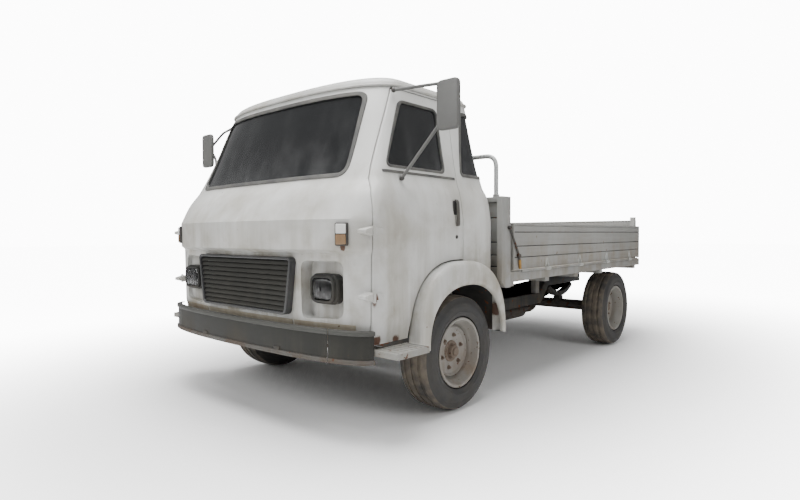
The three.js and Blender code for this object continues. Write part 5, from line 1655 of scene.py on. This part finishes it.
class TRUCK_OT_tyres(Piece, bpy.types.Operator):
    """Mould the tyres with ribs, grooves and notched shoulders"""
    bl_idname = "truck.tyres"
    bl_label = "Tyres"

    def build(self, size):
        tread = [(0.004, 0.360), (0.006, TYRE_RADIUS), (0.044, 0.368), (0.048, 0.358),
                 (0.056, 0.358), (0.060, 0.367), (0.098, 0.360)]
        wall = [(0.108, 0.352), (0.113, 0.338), (0.119, 0.322), (0.122, 0.3185), (0.1235, 0.312),
                (0.1265, 0.298), (0.127, 0.282), (0.125, 0.262), (0.1265, 0.258), (0.1225, 0.254),
                (0.118, 0.240), (0.110, 0.229), (0.109, 0.2235), (0.105, 0.222), (0.100, 0.2225)]
        inner = [(0.088, 0.235), (0.095, 0.270), (0.085, 0.330), (-0.085, 0.330), (-0.095, 0.270),
                 (-0.088, 0.235)]
        outer = tread + wall
        other = [(-x, r) for x, r in reversed(outer)]
        profile = other + outer + inner + other[:1]
        for place_name, axle_y in (("front", AXLE_Y), ("rear", REAR_AXLE_Y)):
            centre = Vector((WHEEL_X, axle_y, TYRE_RADIUS))
            tyre = lathe(profile, centre, 120)
            for face in tyre.data.polygons:
                away = face.center - centre
                radius = math.hypot(away.y, away.z)
                step = int(round(math.degrees(math.atan2(away.z, away.y)) / 3.0)) % 4
                face.select = radius > 0.350 and 0.060 < abs(away.x) < 0.112 and step == 0
            for edge in tyre.data.edges:
                edge.select = False
            bpy.context.view_layer.objects.active = tyre
            bpy.ops.object.mode_set(mode="EDIT")
            bpy.ops.mesh.select_mode(type="FACE")
            bpy.ops.mesh.inset(thickness=0.0006, depth=-0.007)
            bpy.ops.mesh.select_mode(type="VERT")
            leave(tyre)
            body = "road_wheel_" + place_name + "_{}"
            for item, side in zip((tyre, mirrored(tyre)), SIDES):
                place(item, f"tyre_rubber_{place_name}_{side}", body.format(side), "tyre",
                      "tyre wall", (f"tyre_{place_name}_{side}",), 30)
                item.data.materials.append(bpy.data.materials["tyre tread"])
                for face in item.data.polygons:
                    away = math.hypot(face.center.y - axle_y, face.center.z - TYRE_RADIUS)
                    face.material_index = int(away > 0.345)


# ---------- chassis ----------
class TRUCK_OT_chassis(Piece, bpy.types.Operator):
    """Finish the frame, axles, springs, engine, tank and exhaust from their CAD shapes"""
    bl_idname = "truck.chassis"
    bl_label = "Chassis"

    def build(self, size):
        frame_nodes = ("frame_rail_left", "frame_rail_right", "front_crossmember",
                       "rear_crossmember")
        iron = ("exhaust", "front_axle_beam", "rear_axle", "front_spring_left",
                "front_spring_right", "rear_spring_left", "rear_spring_right")
        parts = [(node, *FRAME_COAT) for node in frame_nodes]
        parts += [("engine", "chassis", "engine_alloy", "engine alloy"),
                  ("fuel_tank", "chassis", "tank", "tank coat")]
        parts += [(node, "chassis", "drive_iron", "drive iron") for node in iron]
        parts += [("steering_knuckle_" + side, "steering_" + side, "drive_iron", "drive iron")
                  for side in SIDES]
        parts.append(("propshaft", "propshaft", "drive_iron", "drive iron"))
        for node, body, slot, finish in parts:
            piece = modify(refined(node), "BEVEL", width=0.003, segments=2, limit_method="ANGLE",
                           angle_limit=math.radians(40))
            place(piece, node + "_metal", body, slot, finish, (node,))


# ---------- stage ----------
CAMERA_AT = (2.97888, -4.00625, 1.11893)
CAMERA_TURN = (41.0340, 1.66613, -0.22490)    # yaw, pitch down and roll in degrees
CAMERA_LENS = 24.607
ROOM_LIGHT = 0.40       # strength of the room as a light
ROOM_WHITE = 12.0       # strength of the room where the camera sees it
# Strength of the light painted onto the floor where the camera sees it, away from the truck
FLOOR_GLOW = 11.0


class TRUCK_OT_stage(bpy.types.Operator):
    """Lay the pale floor, hang the soft lamps and set the camera"""
    bl_idname = "truck.stage"
    bl_label = "Floor, light and camera"

    def lamp(self, name, place, aim, across, power):
        data = bpy.data.lights.new(name, "AREA")
        data.shape = "DISK"
        data.size = across
        data.energy = power
        lamp = bpy.data.objects.new(name, data)
        lamp.location = place
        lamp.rotation_euler = (Vector(aim) - Vector(place)).to_track_quat("-Z", "Y").to_euler()
        bpy.context.scene.collection.objects.link(lamp)

    def execute(self, context):
        radius = sizes().floor_radius
        clear_selection()
        bpy.ops.mesh.primitive_grid_add(x_subdivisions=8, y_subdivisions=8, size=radius * 2,
                                        location=(0, 0, -0.0005))
        floor = settle(bpy.context.object)
        floor.name = "floor"
        tree, shader = begin("floor paper")
        mask = use_group(tree, "Mottle", Scale=0.4, Low=0.3, High=0.7)
        tree.links.new(blended(tree, mask, (0.88, 0.88, 0.88), (0.91, 0.91, 0.91)),
                       shader.inputs["Base Color"])
        shader.inputs["Roughness"].default_value = 0.85
        # Painted light: for the camera only, the floor glows white, from nothing within about 0.7 m
        # of the truck up to full strength past 2.6 m. The far floor is painted white while the lit
        # floor and the shade by the truck stay.
        flat = shade(tree, "ShaderNodeVectorMath", {0: object_place(tree), 1: (0.52, 0.34, 1.0)},
                     operation="MULTIPLY")
        away = shade(tree, "ShaderNodeVectorMath", {0: flat.outputs[0]}, operation="LENGTH")
        seen = shade(tree, "ShaderNodeLightPath").outputs["Is Camera Ray"]
        glow = maths(tree, "MULTIPLY", window(tree, away.outputs["Value"], 0.70, 2.6), seen)
        tree.links.new(maths(tree, "MULTIPLY", glow, FLOOR_GLOW),
                       shader.inputs["Emission Strength"])
        shader.inputs["Emission Color"].default_value = (1, 1, 1, 1)
        floor.data.materials.append(bpy.data.materials["floor paper"])
        world = bpy.data.worlds.new("soft room")
        context.scene.world = world
        world.use_nodes = True
        room = world.node_tree
        back = room.nodes["Background"]
        back.inputs[0].default_value = (1.0, 1.0, 1.0, 1)
        seen = shade(room, "ShaderNodeLightPath").outputs["Is Camera Ray"]
        room.links.new(between(room, seen, ROOM_LIGHT, ROOM_WHITE), back.inputs[1])
        self.lamp("overhead lamp", (0.2, -1.8, 6.5), (0, -0.6, 0), 5.0, 820)
        self.lamp("front lamp", (-1.5, -8.0, 4.8), (0.0, -0.8, 1.2), 4.0, 300)
        self.lamp("side lamp", (7.0, -1.0, 4.0), (0.8, 0.2, 0.8), 4.0, 170)
        self.camera(context.scene)
        return {"FINISHED"}

    def camera(self, scene):
        data = bpy.data.cameras.new("camera")
        data.lens = CAMERA_LENS
        data.sensor_width = 36.0
        camera = bpy.data.objects.new("camera", data)
        scene.collection.objects.link(camera)
        yaw, pitch, roll = (math.radians(a) for a in CAMERA_TURN)
        forward = Vector((-math.sin(yaw) * math.cos(pitch), math.cos(yaw) * math.cos(pitch),
                          -math.sin(pitch)))
        side = Vector((math.cos(yaw), math.sin(yaw), 0))
        up = side.cross(forward)
        right = side * math.cos(roll) + up * math.sin(roll)
        above = up * math.cos(roll) - side * math.sin(roll)
        turn = Matrix((right, above, -forward)).transposed().to_4x4()
        camera.matrix_world = Matrix.Translation(CAMERA_AT) @ turn
        scene.camera = camera


STEPS = (
    TRUCK_OT_finishes, TRUCK_OT_stage, TRUCK_OT_front_panel, TRUCK_OT_nose_strip,
    TRUCK_OT_cab_sides, TRUCK_OT_rear_wall, TRUCK_OT_roof, TRUCK_OT_doors, TRUCK_OT_door_hinges,
    TRUCK_OT_panes, TRUCK_OT_grille, TRUCK_OT_headlamps, TRUCK_OT_marker_lamps, TRUCK_OT_bumper,
    TRUCK_OT_steps, TRUCK_OT_handles, TRUCK_OT_mirrors, TRUCK_OT_cab_inside, TRUCK_OT_seats,
    TRUCK_OT_deck, TRUCK_OT_headboard, TRUCK_OT_dropsides, TRUCK_OT_latches, TRUCK_OT_tailgate,
    TRUCK_OT_wheels, TRUCK_OT_tyres, TRUCK_OT_chassis,
)


class TRUCK_PT_pieces(bpy.types.Panel):
    """The truck's sizes, colours and pieces"""
    bl_idname = "TRUCK_PT_pieces"
    bl_label = "Dropside truck"
    bl_space_type = "VIEW_3D"
    bl_region_type = "UI"
    bl_category = "Truck"

    def draw(self, context):
        for group in (context.scene.truck_sizes, context.scene.truck_colours):
            for name in group.__annotations__:
                self.layout.prop(group, name)
        for step in STEPS:
            self.layout.operator(step.bl_idname)


CLASSES = (TruckSizes, TruckColours, *STEPS, TRUCK_PT_pieces)


def register():
    for item in CLASSES:
        bpy.utils.register_class(item)
    bpy.types.Scene.truck_sizes = bpy.props.PointerProperty(type=TruckSizes)
    bpy.types.Scene.truck_colours = bpy.props.PointerProperty(type=TruckColours)


def unregister():
    del bpy.types.Scene.truck_colours
    del bpy.types.Scene.truck_sizes
    for item in reversed(CLASSES):
        bpy.utils.unregister_class(item)


def main():
    register()
    for step in STEPS:
        group, name = step.bl_idname.split(".")
        getattr(getattr(bpy.ops, group), name)()


if __name__ == "__main__":
    main()
